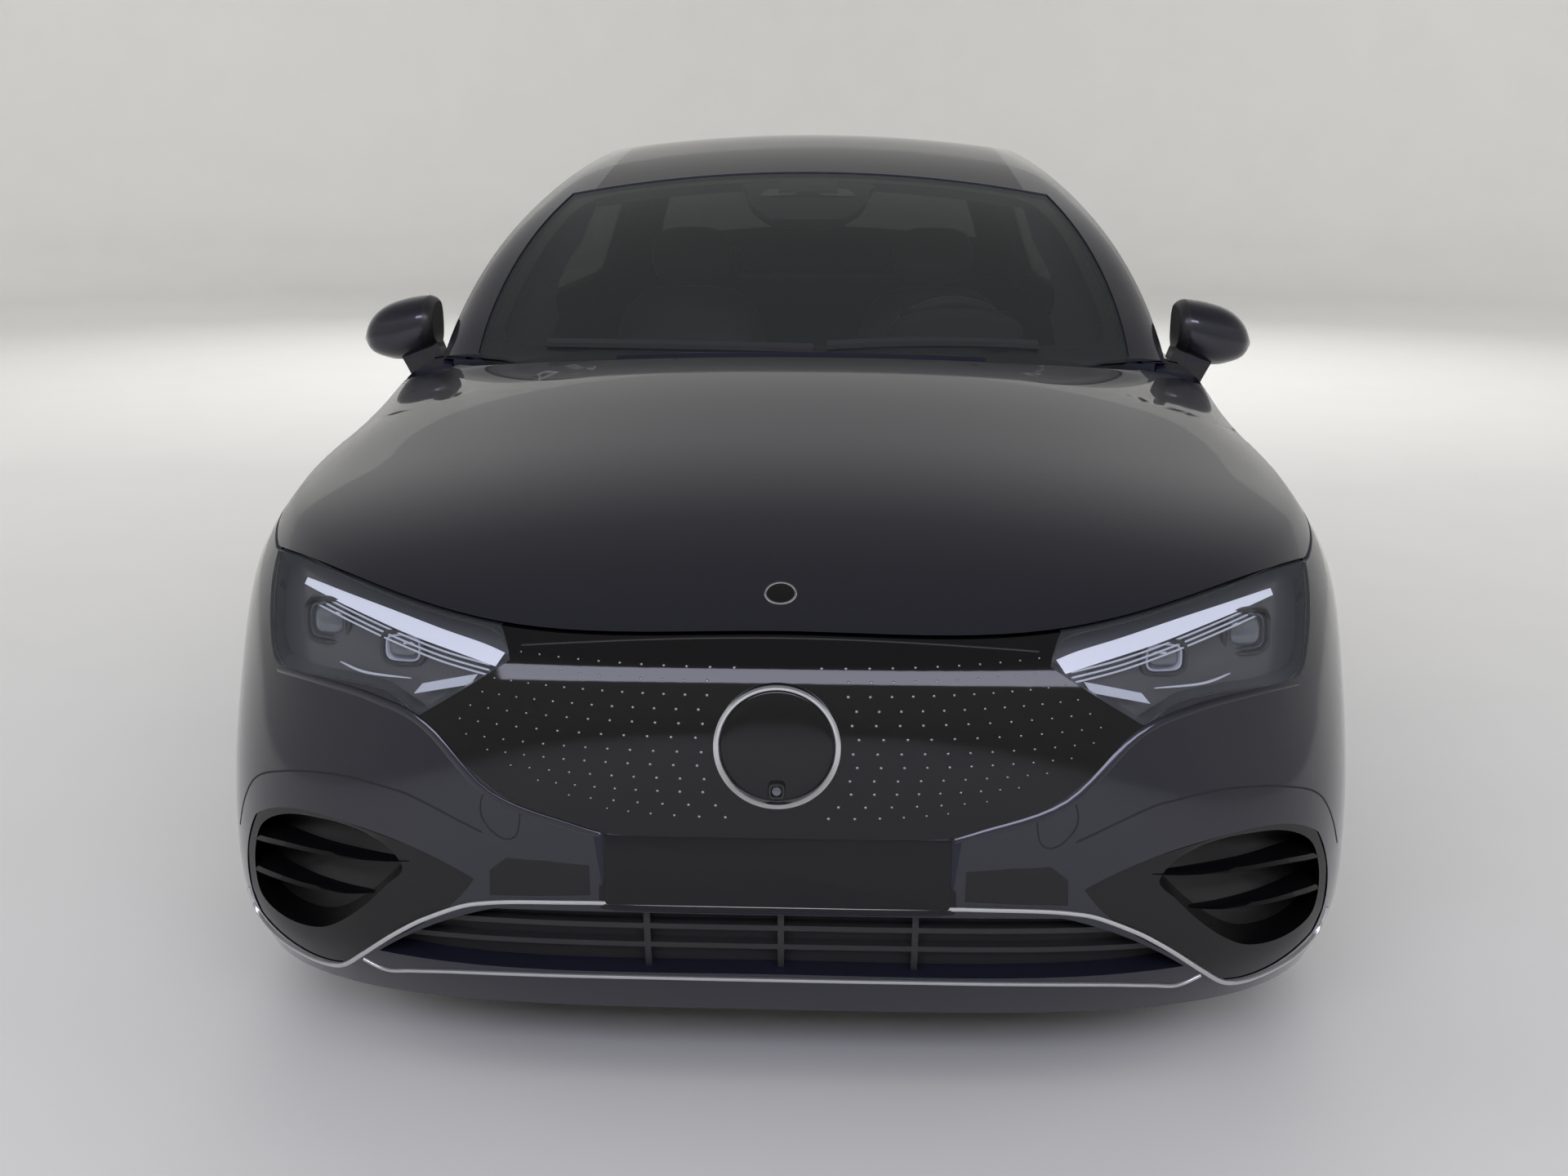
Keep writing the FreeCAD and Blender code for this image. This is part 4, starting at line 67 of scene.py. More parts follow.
# Along the length: height and drop towards the sides, as shares of the height
DECK = np.array([
    (-0.0200, 0.4570, 0.0400), (0.0000, 0.4890, 0.0400), (0.0162, 0.5110, 0.0410), (0.0404, 0.5480, 0.0450),
    (0.0809, 0.5930, 0.0500), (0.1415, 0.6320, 0.0556), (0.2022, 0.6620, 0.0556), (0.2628, 0.6780, 0.0477),
    (0.3437, 0.6830, 0.0364), (0.5055, 0.6920, 0.0330), (0.6470, 0.7120, 0.0400), (0.7480, 0.7420, 0.0500),
    (0.8290, 0.7735, 0.0730), (0.8755, 0.7815, 0.0860), (0.9100, 0.7616, 0.0730), (0.9400, 0.7440, 0.0560),
    (0.9644, 0.7340, 0.0430), (0.9826, 0.7230, 0.0400), (1.0200, 0.6950, 0.0400)])
ROOF = np.array([
    (0.2020, 0.5695, 0.0460), (0.2325, 0.6260, 0.0440), (0.2568, 0.6690, 0.0400), (0.2830, 0.7185, 0.0380),
    (0.3235, 0.7850, 0.0360), (0.3640, 0.8410, 0.0330), (0.4040, 0.8875, 0.0310), (0.4450, 0.9260, 0.0300),
    (0.4850, 0.9565, 0.0285), (0.5257, 0.9800, 0.0280), (0.5760, 0.9985, 0.0280), (0.6270, 0.9980, 0.0280),
    (0.6670, 0.9900, 0.0285), (0.7077, 0.9755, 0.0290), (0.7480, 0.9536, 0.0300), (0.7885, 0.9205, 0.0310),
    (0.8290, 0.8690, 0.0330), (0.8755, 0.7830, 0.0365), (0.9100, 0.7086, 0.0400)])
# Along the length: the glasshouse's half width as a share of the width
BELT = np.array([
    (0.1820, 0.3360), (0.2630, 0.4145), (0.3235, 0.4397), (0.4040, 0.4500), (0.5660, 0.4554),
    (0.6874, 0.4470), (0.7885, 0.4224), (0.8755, 0.3856), (0.9500, 0.3460)])


def spline(table, column):
    x, y = table[:, 0], table[:, column]
    n = len(x)
    h = np.diff(x)
    a = np.eye(n)
    r = np.zeros(n)
    for i in range(1, n - 1):
        a[i, i - 1:i + 2] = h[i - 1], 2 * (h[i - 1] + h[i]), h[i]
        r[i] = 3 * ((y[i + 1] - y[i]) / h[i] - (y[i] - y[i - 1]) / h[i - 1])
    c = np.linalg.solve(a, r)
    b = np.diff(y) / h - h * (c[1:] + 2 * c[:-1]) / 3
    d = np.diff(c) / (3 * h)
    end = b[-1] + 2 * c[-2] * h[-1] + 3 * d[-1] * h[-1] ** 2

    def value(t):
        t = np.asarray(t, float)
        i = np.clip(np.searchsorted(x, t) - 1, 0, n - 2)
        u = np.clip(t, x[0], x[-1]) - x[i]
        v = y[i] + b[i] * u + c[i] * u ** 2 + d[i] * u ** 3
        return v + np.where(t > x[-1], end * (t - x[-1]), 0) + np.where(t < x[0], b[0] * (t - x[0]), 0)
    return value


lv = [None] + [spline(LEVELS, i) for i in range(1, 6)]
deck_h, deck_d = spline(DECK, 1), spline(DECK, 2)
roof_h, roof_d = spline(ROOF, 1), spline(ROOF, 2)
belt_h = spline(BELT, 1)


def f_ring(x, s, z):
    t = z / H
    nose, tail = L * lv[1](t), L * (1 - lv[2](t))
    fh, dh, n = HW - W * lv[3](t), HW - W * lv[4](t), lv[5](t)
    ax = np.abs(x)
    b = np.clip((s / L - 0.182) / 0.121, 0, 1)
    half = fh + (dh - fh) * b * b * (3 - 2 * b)
    ahead_by = np.maximum(nose + NOSE_ROUND - s, 0) / NOSE_ROUND
    behind_by = np.maximum(s - tail + TAIL_ROUND, 0) / TAIL_ROUND
    front = ((ax / fh) ** n + ahead_by ** n) ** (1 / n)
    back = ((ax / dh) ** TAIL_POWER + behind_by ** TAIL_POWER) ** (1 / TAIL_POWER)
    rear_part = np.where(s > tail - TAIL_ROUND, (1 - back) * TAIL_ROUND, half - ax)
    return np.where(s < nose + NOSE_ROUND, (1 - front) * NOSE_ROUND, rear_part)


def f_deck(x, s, z):
    t = s / L
    return H * (deck_h(t) - deck_d(t) * (np.abs(x) / (0.446 * W)) ** 2.2) - z


def f_roof(x, s, z):
    t = s / L
    return H * (roof_h(t) - roof_d(t) * (x / (0.315 * W)) ** 2) - z


def f_side(x, s, z):
    up = z / H - 0.649
    return W * (belt_h(s / L) - 0.2341 * up - 2.034 * up ** 3) - np.abs(x)


FIELDS = (f_ring, f_deck, f_roof, f_side)


def distances(p):
    """Inside distance in mm and outward normal of each of the four surfaces; p in mm as (x, s, z)."""
    e = 0.5
    ds, ns = [], []
    for f in FIELDS:
        v = f(p[:, 0], p[:, 1], p[:, 2])
        g = np.stack([(f(*(p + e * a).T) - f(*(p - e * a).T)) / (2 * e) for a in np.eye(3)], 1)
        size = np.maximum(np.linalg.norm(g, axis=1), 1e-6)
        ds.append(v / size)
        ns.append(-g / size[:, None])
    ds = np.stack(ds)
    ds[2:, p[:, 2] < WAIST_Z] = -500.0
    return ds, np.stack(ns)


def soft_weights(a, b, k):
    w = 1 / (1 + np.exp(np.clip((a - b) / k, -40, 40)))
    return w, 1 - w


def smooth_normals(p, k_edge=16.0, k_join=10.0):
    d, n = distances(p)
    w0, w1 = soft_weights(d[0], d[1], k_edge)
    w2, w3 = soft_weights(d[2], d[3], k_edge)
    low = w0[:, None] * n[0] + w1[:, None] * n[1]
    top = w2[:, None] * n[2] + w3[:, None] * n[3]
    dl, dt = np.minimum(d[0], d[1]), np.minimum(d[2], d[3])
    wt, wl = soft_weights(-dt, -dl, k_join)
    out = wt[:, None] * top + wl[:, None] * low
    return out / np.linalg.norm(out, axis=1)[:, None]


def sharp_depth(p):
    """Inside distance to the whole form, and the normal of the surface that is nearest."""
    d, n = distances(p)
    low = np.where(d[0] < d[1], 0, 1)
    top = np.where(d[2] < d[3], 2, 3)
    idx = np.arange(len(p))
    pick = np.where(d[low, idx] > d[top, idx], low, top)
    return d[pick, idx], n[pick, idx]


def to_form(p):
    """Metres in the frame to mm as (x, behind the nose, z)."""
    return np.asarray(p) * 1000.0 + np.array([0, L / 2, 0])


def to_frame(p):
    return (np.asarray(p) - np.array([0, L / 2, 0])) / 1000.0


# Materials


def material(name, color, rough=0.5, metal=0.0, coat=0.0, coat_rough=0.03, alpha=1.0, emission=None,
             strength=0.0, noise=0.0, noise_scale=400.0, bump=0.0, bump_scale=300.0, spec=0.5,
             rough_noise=0.0, sheen=0.0):
    """A procedural material: noise varies the colour, bump the surface."""
    m = bpy.data.materials.new(name)
    m.use_nodes = True
    t = m.node_tree
    b = t.nodes["Principled BSDF"]
    b.inputs["Base Color"].default_value = (*color, 1)
    b.inputs["Roughness"].default_value = rough
    b.inputs["Metallic"].default_value = metal
    b.inputs["Coat Weight"].default_value = coat
    b.inputs["Coat Roughness"].default_value = coat_rough
    b.inputs["IOR"].default_value = 1.5
    b.inputs["Alpha"].default_value = alpha
    b.inputs["Specular IOR Level"].default_value = spec
    b.inputs["Sheen Weight"].default_value = sheen
    if emission:
        b.inputs["Emission Color"].default_value = (*emission, 1)
        b.inputs["Emission Strength"].default_value = strength
    place = t.nodes.new("ShaderNodeTexCoord")
    if noise:
        n = t.nodes.new("ShaderNodeTexNoise")
        n.inputs["Scale"].default_value = noise_scale
        n.inputs["Detail"].default_value = 3
        t.links.new(place.outputs["Object"], n.inputs["Vector"])
        ramp = t.nodes.new("ShaderNodeMix")
        ramp.data_type = "RGBA"
        ramp.inputs["A"].default_value = (*[c * (1 - noise) for c in color], 1)
        ramp.inputs["B"].default_value = (*[min(1, c * (1 + noise)) for c in color], 1)
        t.links.new(n.outputs["Fac"], ramp.inputs["Factor"])
        t.links.new(ramp.outputs["Result"], b.inputs["Base Color"])
        if rough_noise:
            r = t.nodes.new("ShaderNodeMapRange")
            r.inputs["To Min"].default_value = max(0, rough - rough_noise)
            r.inputs["To Max"].default_value = min(1, rough + rough_noise)
            t.links.new(n.outputs["Fac"], r.inputs["Value"])
            t.links.new(r.outputs["Result"], b.inputs["Roughness"])
    if bump:
        n = t.nodes.new("ShaderNodeTexNoise")
        n.inputs["Scale"].default_value = bump_scale
        n.inputs["Detail"].default_value = 4
        t.links.new(place.outputs["Object"], n.inputs["Vector"])
        k = t.nodes.new("ShaderNodeBump")
        k.inputs["Strength"].default_value = bump
        k.inputs["Distance"].default_value = 0.001
        t.links.new(n.outputs["Fac"], k.inputs["Height"])
        t.links.new(k.outputs["Normal"], b.inputs["Normal"])
    return m


PAINT = material("midnight_blue_paint", (0.0125, 0.0125, 0.024), rough=0.36, metal=0.7, coat=1.0,
                 coat_rough=0.015, noise=0.35, noise_scale=900, rough_noise=0.05)
GLOSS = material("gloss_black", (0.003, 0.003, 0.0035), rough=0.06, spec=0.42, noise=0.2, noise_scale=60)
SATIN_BLACK = material("satin_black", (0.012, 0.012, 0.013), rough=0.35, bump=0.05, noise=0.2)
MATTE = material("moulded_black", (0.018, 0.018, 0.019), rough=0.62, bump=0.25, bump_scale=900, noise=0.25)
TRIM_TOP = material("soft_dash", (0.022, 0.022, 0.024), rough=0.7, bump=0.35, bump_scale=500, noise=0.25)
CHROME = material("satin_chrome", (0.62, 0.63, 0.65), rough=0.16, metal=1.0, noise=0.05, noise_scale=80)
GLASS = material("tinted_glass", (0.030, 0.034, 0.033), rough=0.0, alpha=0.38, noise=0.03, noise_scale=3)
PRIVACY = material("dark_side_glass", (0.010, 0.011, 0.012), rough=0.0, alpha=0.74, noise=0.03, noise_scale=3)
LENS = material("lamp_lens", (0.20, 0.21, 0.23), rough=0.0, alpha=0.14, noise=0.02, noise_scale=5)
RED = material("red_lens", (0.20, 0.004, 0.006), rough=0.08, coat=1.0, noise=0.25, noise_scale=160)
STEEL = material("chassis_paint", (0.022, 0.022, 0.024), rough=0.5, metal=0.4, noise=0.4,
                 noise_scale=60, bump=0.1)
ALLOY = material("cast_alloy", (0.42, 0.43, 0.44), rough=0.42, metal=1.0, noise=0.25, noise_scale=120,
                 bump=0.3)
RIM = material("wheel_silver", (0.52, 0.53, 0.56), rough=0.24, metal=0.95, coat=0.6, noise=0.06,
               noise_scale=300)
IRON = material("machined_iron", (0.33, 0.33, 0.34), rough=0.33, metal=1.0, noise=0.25, noise_scale=200,
                bump=0.15)
TYRE = material("tyre_rubber", (0.016, 0.016, 0.017), rough=0.82, noise=0.3, noise_scale=90, bump=0.3,
                bump_scale=700)
LEATHER = material("black_leather", (0.024, 0.023, 0.023), rough=0.48, bump=0.6, bump_scale=260, noise=0.3,
                   noise_scale=40, sheen=0.2)
CASE = material("battery_case", (0.30, 0.31, 0.32), rough=0.45, metal=0.9, noise=0.2, noise_scale=50,
                bump=0.1)
LIGHT = material("running_light", (0.62, 0.65, 0.74), rough=0.3, emission=(0.75, 0.79, 1.0), strength=0.10,
                 noise=0.05)
MIRROR_GLASS = material("mirror_glass", (0.7, 0.72, 0.74), rough=0.02, metal=1.0, noise=0.02)
PAINT_EDGE = material("painted_inner_side", (0.012, 0.013, 0.026), rough=0.45, metal=0.3, noise=0.3,
                      noise_scale=500)
LAMP_DARK = material("lamp_housing", (0.035, 0.037, 0.042), rough=0.35, coat=0.3, noise=0.3, noise_scale=200)
BULB = material("projector_glass", (0.10, 0.11, 0.13), rough=0.04, coat=1.0, metal=0.4, noise=0.1,
                noise_scale=60)
GUIDE = material("light_guide", (0.42, 0.45, 0.52), rough=0.22, emission=(0.7, 0.76, 1.0),
                 strength=0.03, noise=0.1, noise_scale=300)
MESH_BLACK = material("honeycomb_black", (0.008, 0.008, 0.008), rough=0.45, bump=0.3, bump_scale=500,
                      noise=0.3)
# Near-black painted shade, laid over the skin at the handle gaps, tow cover groove, intake lip and the slots
# beside the plate, where shade falls
SHADE = material("painted_shade_black", (0.006, 0.006, 0.006), rough=0.7, noise=0.3, bump=0.1)
FRIT = material("black_glass_border", (0.004, 0.004, 0.004), rough=0.25, noise=0.2, noise_scale=30)
PLATE = material("plate_black", (0.006, 0.006, 0.0065), rough=0.3, coat=0.1, spec=0.25, noise=0.15,
                 noise_scale=60)
SCREEN = material("display_glass", (0.004, 0.004, 0.005), rough=0.05, coat=1.0, noise=0.1)
SCREEN_GREY = material("sensor_window", (0.10, 0.11, 0.11), rough=0.3, noise=0.1)
RED_GLOW = material("tail_light_line", (0.5, 0.01, 0.01), rough=0.2, coat=1.0, emission=(1.0, 0.02, 0.02),
                    strength=0.25, noise=0.1)
PIP = material("pip_chrome", (0.34, 0.35, 0.38), rough=0.25, metal=1.0, noise=0.1)

MATERIAL_OF = {
    "grille_panel": GLOSS, "roof_panel": GLOSS, "side_intakes": GLOSS, "number_plates": SATIN_BLACK,
    "steering_wheel": LEATHER, "inner_mirror": SATIN_BLACK, "lower_grille": MATTE, "dashboard": TRIM_TOP,
    "centre_console": TRIM_TOP, "bay_cover": MATTE, "wipers": MATTE, "front_beam": STEEL,
    "front_suspension": STEEL, "rear_suspension": STEEL, "battery_pack": CASE, "drive_unit": ALLOY,
    "knuckle_left": ALLOY, "knuckle_right": ALLOY, "tail_lamps": RED, "lid_lamp_band": RED,
    "headlamps": SATIN_BLACK,
    "front_seats": LEATHER, "rear_bench": LEATHER,
}
for name, obj in NODES.items():
    m = MATERIAL_OF.get(name)
    if m is None:
        for start, other in (("tyre", TYRE), ("rim", RIM), ("brake_disc", IRON), ("mirror", PAINT)):
            if name.startswith(start):
                m = other
    if m is None:
        m = PAINT
    obj.data.materials.clear()
    obj.data.materials.append(m)

# Helpers for pieces


def new_object(name, verts, faces, mat, node=None, angle=None):
    """A mesh with even normals, sharp above an angle in degrees, that rides on its node's body."""
    me = bpy.data.meshes.new(name)
    me.from_pydata([tuple(v) for v in verts], [], [tuple(f) for f in faces])
    me.update()
    ob = bpy.data.objects.new(name, me)
    bpy.context.scene.collection.objects.link(ob)
    me.materials.append(mat)
    bm = bmesh.new()
    bm.from_mesh(me)
    bmesh.ops.recalc_face_normals(bm, faces=bm.faces)
    if angle is not None:
        for e in bm.edges:
            if len(e.link_faces) == 2 and e.calc_face_angle(0) > math.radians(angle):
                e.smooth = False
    bm.to_mesh(me)
    bm.free()
    me.polygons.foreach_set("use_smooth", [True] * len(me.polygons))
    if node:
        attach(ob, BODY_OF[node])
    return ob


def between_rings(rows, count, closed=True):
    """Quads between rings, or open lines, of equally many points."""
    return [(r * count + i, r * count + (i + 1) % count, (r + 1) * count + (i + 1) % count,
             (r + 1) * count + i)
            for r in range(rows - 1) for i in range(count if closed else count - 1)]


def rounded_corners(half_wide, half_high, radius, shrink):
    """Points (across, up) of a rectangle with round corners."""
    out = []
    for cx, cy, start in ((1, 1, 0), (-1, 1, 90), (-1, -1, 180), (1, -1, 270)):
        for a in range(0, 91, 15):
            w = math.radians(start + a)
            out.append((cx * (half_wide - radius) + (radius - shrink) * math.cos(w),
                        cy * (half_high - radius) + (radius - shrink) * math.sin(w)))
    return out


def nearest_on_form(p, inset=0.0, rounds=3):
    """Points moved along the form's normals until they lie at one depth below its skin."""
    for _ in range(rounds):
        depth, n = sharp_depth(p)
        p = p + n * (depth - inset)[:, None]
    return p


def allowed_length(p, longest, fine=0.014):
    """Longest edge wanted at each place: short beside the edges that the normals turn across."""
    d, _ = distances(p)
    low = np.abs(d[0] - d[1])
    top = np.abs(d[2] - d[3])
    join = np.abs(np.minimum(d[0], d[1]) - np.minimum(d[2], d[3]))
    on_low = np.minimum(d[0], d[1]) > np.minimum(d[2], d[3])
    near = np.minimum(np.where(on_low, low, top), join * 1.4)
    return np.clip(fine + (near - 28) * 0.0009, fine, longest)


def skin_copy(node, outside, inside=None, inset=0.0, longest=0.045, tolerance=6.5, rounds=6, k_edge=16.0):
    """A copy of a CAD node with its outer skin refined, the form's exact normals and its own material."""
    bm = bmesh.new()
    bm.from_mesh(NODES[node].data)
    bmesh.ops.remove_doubles(bm, verts=bm.verts, dist=1e-6)
    bmesh.ops.triangulate(bm, faces=bm.faces)
    layer = bm.faces.layers.int.new("skin")

    def on_skin():
        bm.verts.index_update()
        p = to_form([v.co for v in bm.verts])
        depth, _ = sharp_depth(p)
        close = np.abs(depth - inset) < tolerance
        faces = list(bm.faces)
        centres = to_form([f.calc_center_median() for f in faces])
        n = smooth_normals(centres, k_edge=4.0, k_join=4.0)
        agree = (np.array([f.normal for f in faces]) * n).sum(1) > 0.75
        middle = np.abs(sharp_depth(centres)[0] - inset) < tolerance
        return [f for f, g, m in zip(faces, agree, middle)
                if g and m and all(close[v.index] for v in f.verts)]

    for f in on_skin():
        f[layer] = 1
    for _ in range(rounds):
        edges = list({e for f in bm.faces if f[layer] for e in f.edges})
        mid = to_form([(e.verts[0].co + e.verts[1].co) / 2 for e in edges])
        limit = allowed_length(mid, longest)
        long_edges = [e for e, k in zip(edges, limit) if e.calc_length() > k * 1.3]
        if not long_edges:
            break
        bmesh.ops.subdivide_edges(bm, edges=long_edges, cuts=1)
        bmesh.ops.triangulate(bm, faces=[f for f in bm.faces if len(f.verts) > 3])
    verts = list({v for f in bm.faces if f[layer] for v in f.verts})
    if verts:
        p = to_form([v.co for v in verts])
        for v, q in zip(verts, to_frame(nearest_on_form(p, inset))):
            v.co = Vector(q)
    bm.normal_update()
    me = bpy.data.meshes.new("skin_" + node)
    flags = [f[layer] for f in bm.faces]
    bm.to_mesh(me)
    bm.free()
    me.materials.append(outside)
    me.materials.append(inside or outside)
    me.polygons.foreach_set("material_index", [0 if k else 1 for k in flags])
    me.polygons.foreach_set("use_smooth", [True] * len(me.polygons))
    co = np.empty(len(me.vertices) * 3)
    me.vertices.foreach_get("co", co)
    vn = smooth_normals(to_form(co.reshape(-1, 3)), k_edge=k_edge)
    normals = np.zeros((len(me.loops), 3))
    for poly, flag in zip(me.polygons, flags):
        for li in poly.loop_indices:
            normals[li] = vn[me.loops[li].vertex_index] if flag else poly.normal
    me.normals_split_custom_set(normals.tolist())
    ob = bpy.data.objects.new("skin_" + node, me)
    bpy.context.scene.collection.objects.link(ob)
    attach(ob, BODY_OF[node])
    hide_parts(node)
    return ob


PAINTED = ["body_shell", "bonnet", "boot_lid", "front_bumper", "rear_bumper", "front_door_left",
           "front_door_right", "rear_door_left", "rear_door_right"]
for name in PAINTED:
    skin_copy(name, PAINT, PAINT_EDGE)
skin_copy("roof_panel", GLOSS)
skin_copy("grille_panel", GLOSS)
for name, mat in (("windscreen", GLASS), ("rear_window", PRIVACY), ("front_door_glass_left", GLASS),
                  ("front_door_glass_right", GLASS), ("rear_door_glass_left", PRIVACY),
                  ("rear_door_glass_right", PRIVACY)):
    skin_copy(name, mat, inset=3.0, longest=0.08, tolerance=2.0)
skin_copy("headlamps", LENS, LAMP_DARK, longest=0.03)
skin_copy("tail_lamps", RED, LAMP_DARK, longest=0.03)
skin_copy("lid_lamp_band", RED, LAMP_DARK, longest=0.03)

# Tools for pieces that follow the skin


def flow(points, steps=6, closed=False):
    """A smooth line through the points."""
    p = np.array(points, float)
    n = len(p)
    out = []
    spans = n if closed else n - 1
    for i in range(spans):
        a, b, c, d = (p[(i + k) % n] if closed else p[min(max(i + k, 0), n - 1)] for k in (-1, 0, 1, 2))
        for t in np.arange(steps) / steps:
            out.append(0.5 * (2 * b + (c - a) * t + (2 * a - 5 * b + 4 * c - d) * t * t
                              + (3 * b - a - 3 * c + d) * t ** 3))
    if not closed:
        out.append(p[-1])
    return np.array(out)


def onto_skin(p, axis, way, inset):
    """Points moved along one axis, inwards where way is their sign, to one depth below the skin."""
    for _ in range(14):
        depth, n = sharp_depth(p)
        p[:, axis] += way * np.clip((inset - depth) / np.maximum(-way * n[:, axis], 0.25), -250, 250)
    return p


def front_skin(xz, inset=0.0):
    """Points (x, s, z) of the front skin behind points (x, z) of the front view."""
    xz = np.array(xz, float)
    return onto_skin(np.column_stack([xz[:, 0], np.zeros(len(xz)), xz[:, 1]]), 1, 1, inset)


def rear_skin(xz, inset=0.0):
    """Points (x, s, z) of the rear skin ahead of points (x, z) of the rear view."""
    xz = np.array(xz, float)
    return onto_skin(np.column_stack([xz[:, 0], np.full(len(xz), 5000.0), xz[:, 1]]), 1, -1, inset)


def top_skin(xs, inset=0.0):
    """Points (x, s, z) of the upper skin below points (x, s) of the plan."""
    xs = np.array(xs, float)
    return onto_skin(np.column_stack([xs[:, 0], xs[:, 1], np.full(len(xs), 1600.0)]), 2, -1, inset)


def frame_along(line, closed=False):
    """Outward normals and sideways vectors along a line near the skin."""
    ahead_p, back_p = np.roll(line, -1, 0), np.roll(line, 1, 0)
    if not closed:
        ahead_p[-1], back_p[0] = line[-1], line[0]
    t = ahead_p - back_p
    t /= np.linalg.norm(t, axis=1)[:, None]
    n = smooth_normals(line)
    side = np.cross(n, t)
    side /= np.linalg.norm(side, axis=1)[:, None]
    return n, side


RIBBON = [(-0.5, -1), (-0.5, 0.35), (-0.40, 0.8), (-0.18, 1.0), (0.18, 1.0), (0.40, 0.8), (0.5, 0.35),
          (0.5, -1)]


def ribbon(name, points, width, height, mat, node, sink=2.0, inset=0.0, closed=False, steps=6, section=RIBBON,
           taper=0.0):
    """A raised strip along a line on the skin, in mm; taper narrows it towards both ends."""
    line = nearest_on_form(flow(points, steps, closed), inset)
    n, side = frame_along(line, closed)
    count = len(line)
    u = np.linspace(-1, 1, count)
    wide = width * (1 - taper * u ** 2) if taper else np.full(count, width)
    verts = []
    for i in range(count):
        for a, b in section:
            rise = b * (height if b > 0 else sink)
            verts.append(to_frame(line[i] + side[i] * a * wide[i] + n[i] * rise))
    k = len(section)
    faces = []
    for i in range(count if closed else count - 1):
        j = (i + 1) % count
        for a in range(k - 1):
            faces.append((i * k + a, i * k + a + 1, j * k + a + 1, j * k + a))
        faces.append((i * k + k - 1, i * k, j * k, j * k + k - 1))
    if not closed:
        faces.append(tuple(range(k))[::-1])
        faces.append(tuple(range((count - 1) * k, count * k)))
    return new_object(name, verts, faces, mat, node=node, angle=40)


def sheet_between(name, low, high, mat, node, across=4, inset=0.0):
    """A strip of skin between two lines of equally many points."""
    a, b = flow(low), flow(high)
    rows = [nearest_on_form(a + (b - a) * k / across, inset) for k in range(across + 1)]
    verts = [to_frame(p) for row in rows for p in row]
    return new_object(name, verts, between_rings(len(rows), len(a), closed=False), mat, node=node)


def plate_on_front(name, outline, height, mat, node, rings=6, rim=5.0):
    """A raised plate over an outline (x, z) of the front view, with a rounded edge."""
    line = np.array(outline, float)
    centre = line.mean(0)
    scale = np.linalg.norm(line - centre, axis=1).mean()
    shares = [(0.0, -2.0), (0.0, height * 0.4), (rim * 0.35 / scale, height * 0.85), (rim / scale, height)]
    shares += [(k / rings, height) for k in range(1, rings)]
    shares.sort()
    count = len(line)
    verts = [to_frame(q) for share, up_by in shares
             for q in front_skin(line + (centre - line) * share, -up_by)]
    verts.append(to_frame(front_skin([centre], -height)[0]))
    last = len(verts) - 1
    faces = between_rings(len(shares), count)
    base = (len(shares) - 1) * count
    faces += [(base + i, base + (i + 1) % count, last) for i in range(count)]
    return new_object(name, verts, faces, mat, node=node, angle=50)


def loft(name, rings, mat, node, start_cap=True, end_cap=True, angle=35):
    """Faces through rings of equally many points in metres."""
    count = len(rings[0])
    verts = [v for ring in rings for v in ring]
    faces = between_rings(len(rings), count)
    if start_cap:
        faces.append(tuple(range(count))[::-1])
    if end_cap:
        faces.append(tuple(range((len(rings) - 1) * count, len(rings) * count)))
    return new_object(name, verts, faces, mat, node=node, angle=angle)


def oval_ring(centre, across, upwards, half_a, half_b, power=2.0, count=32):
    """A rounded-square ring round a centre, spanned by two vectors; in metres."""
    out = []
    for i in range(count):
        a = 2 * math.pi * i / count
        c, s2 = math.cos(a), math.sin(a)
        r = (abs(c) ** power + abs(s2) ** power) ** (-1 / power)
        out.append(np.array(centre) + np.array(across) * half_a * r * c + np.array(upwards) * half_b * r * s2)
    return out


def turned_on(name, centre, axis, profile, mat, node, count=48, across=(1, 0, 0), power=2.0, end_cap=False):
    """A turned piece: profile (radius, height along the axis) in metres."""
    axis = np.array(axis, float) / np.linalg.norm(axis)
    across = np.array(across, float) - axis * np.dot(across, axis)
    across /= np.linalg.norm(across)
    other = np.cross(axis, across)
    rings = [oval_ring(np.array(centre) + axis * h, across, other, r, r, power, count) for r, h in profile]
    return loft(name, rings, mat, node, False, end_cap)


# Lamps

LAMP_EDGE = [(-840, 795), (-790, 802), (-687, 793), (-595, 779), (-508, 765), (-420, 752), (-396, 732),
             (-388, 713), (-453, 667), (-524, 627), (-564, 645), (-614, 656), (-707, 653), (-756, 649),
             (-788, 655), (-807, 676), (-821, 730), (-832, 774)]
DRL_TOP = [(-758, 277, 778), (-675, 209, 773), (-583, 149, 762), (-499, 106, 746), (-433, 79, 733),
           (-399, 65, 723)]
DRL_LOW = [(-757, 274, 764), (-689, 209, 757), (-624, 162, 746), (-551, 119, 731), (-470, 81, 716),
           (-412, 59, 703)]
GUIDE_LINE = [(-719, 232, 758), (-655, 180, 748), (-579, 131, 733), (-496, 90, 716), (-421, 64, 704)]
LAMP_DEPTH = 34.0
# Name, place and half sizes
PROJECTORS = [("outer", (-707, 197, 722), 38, 33), ("inner", (-566, 112, 706), 33, 24)]


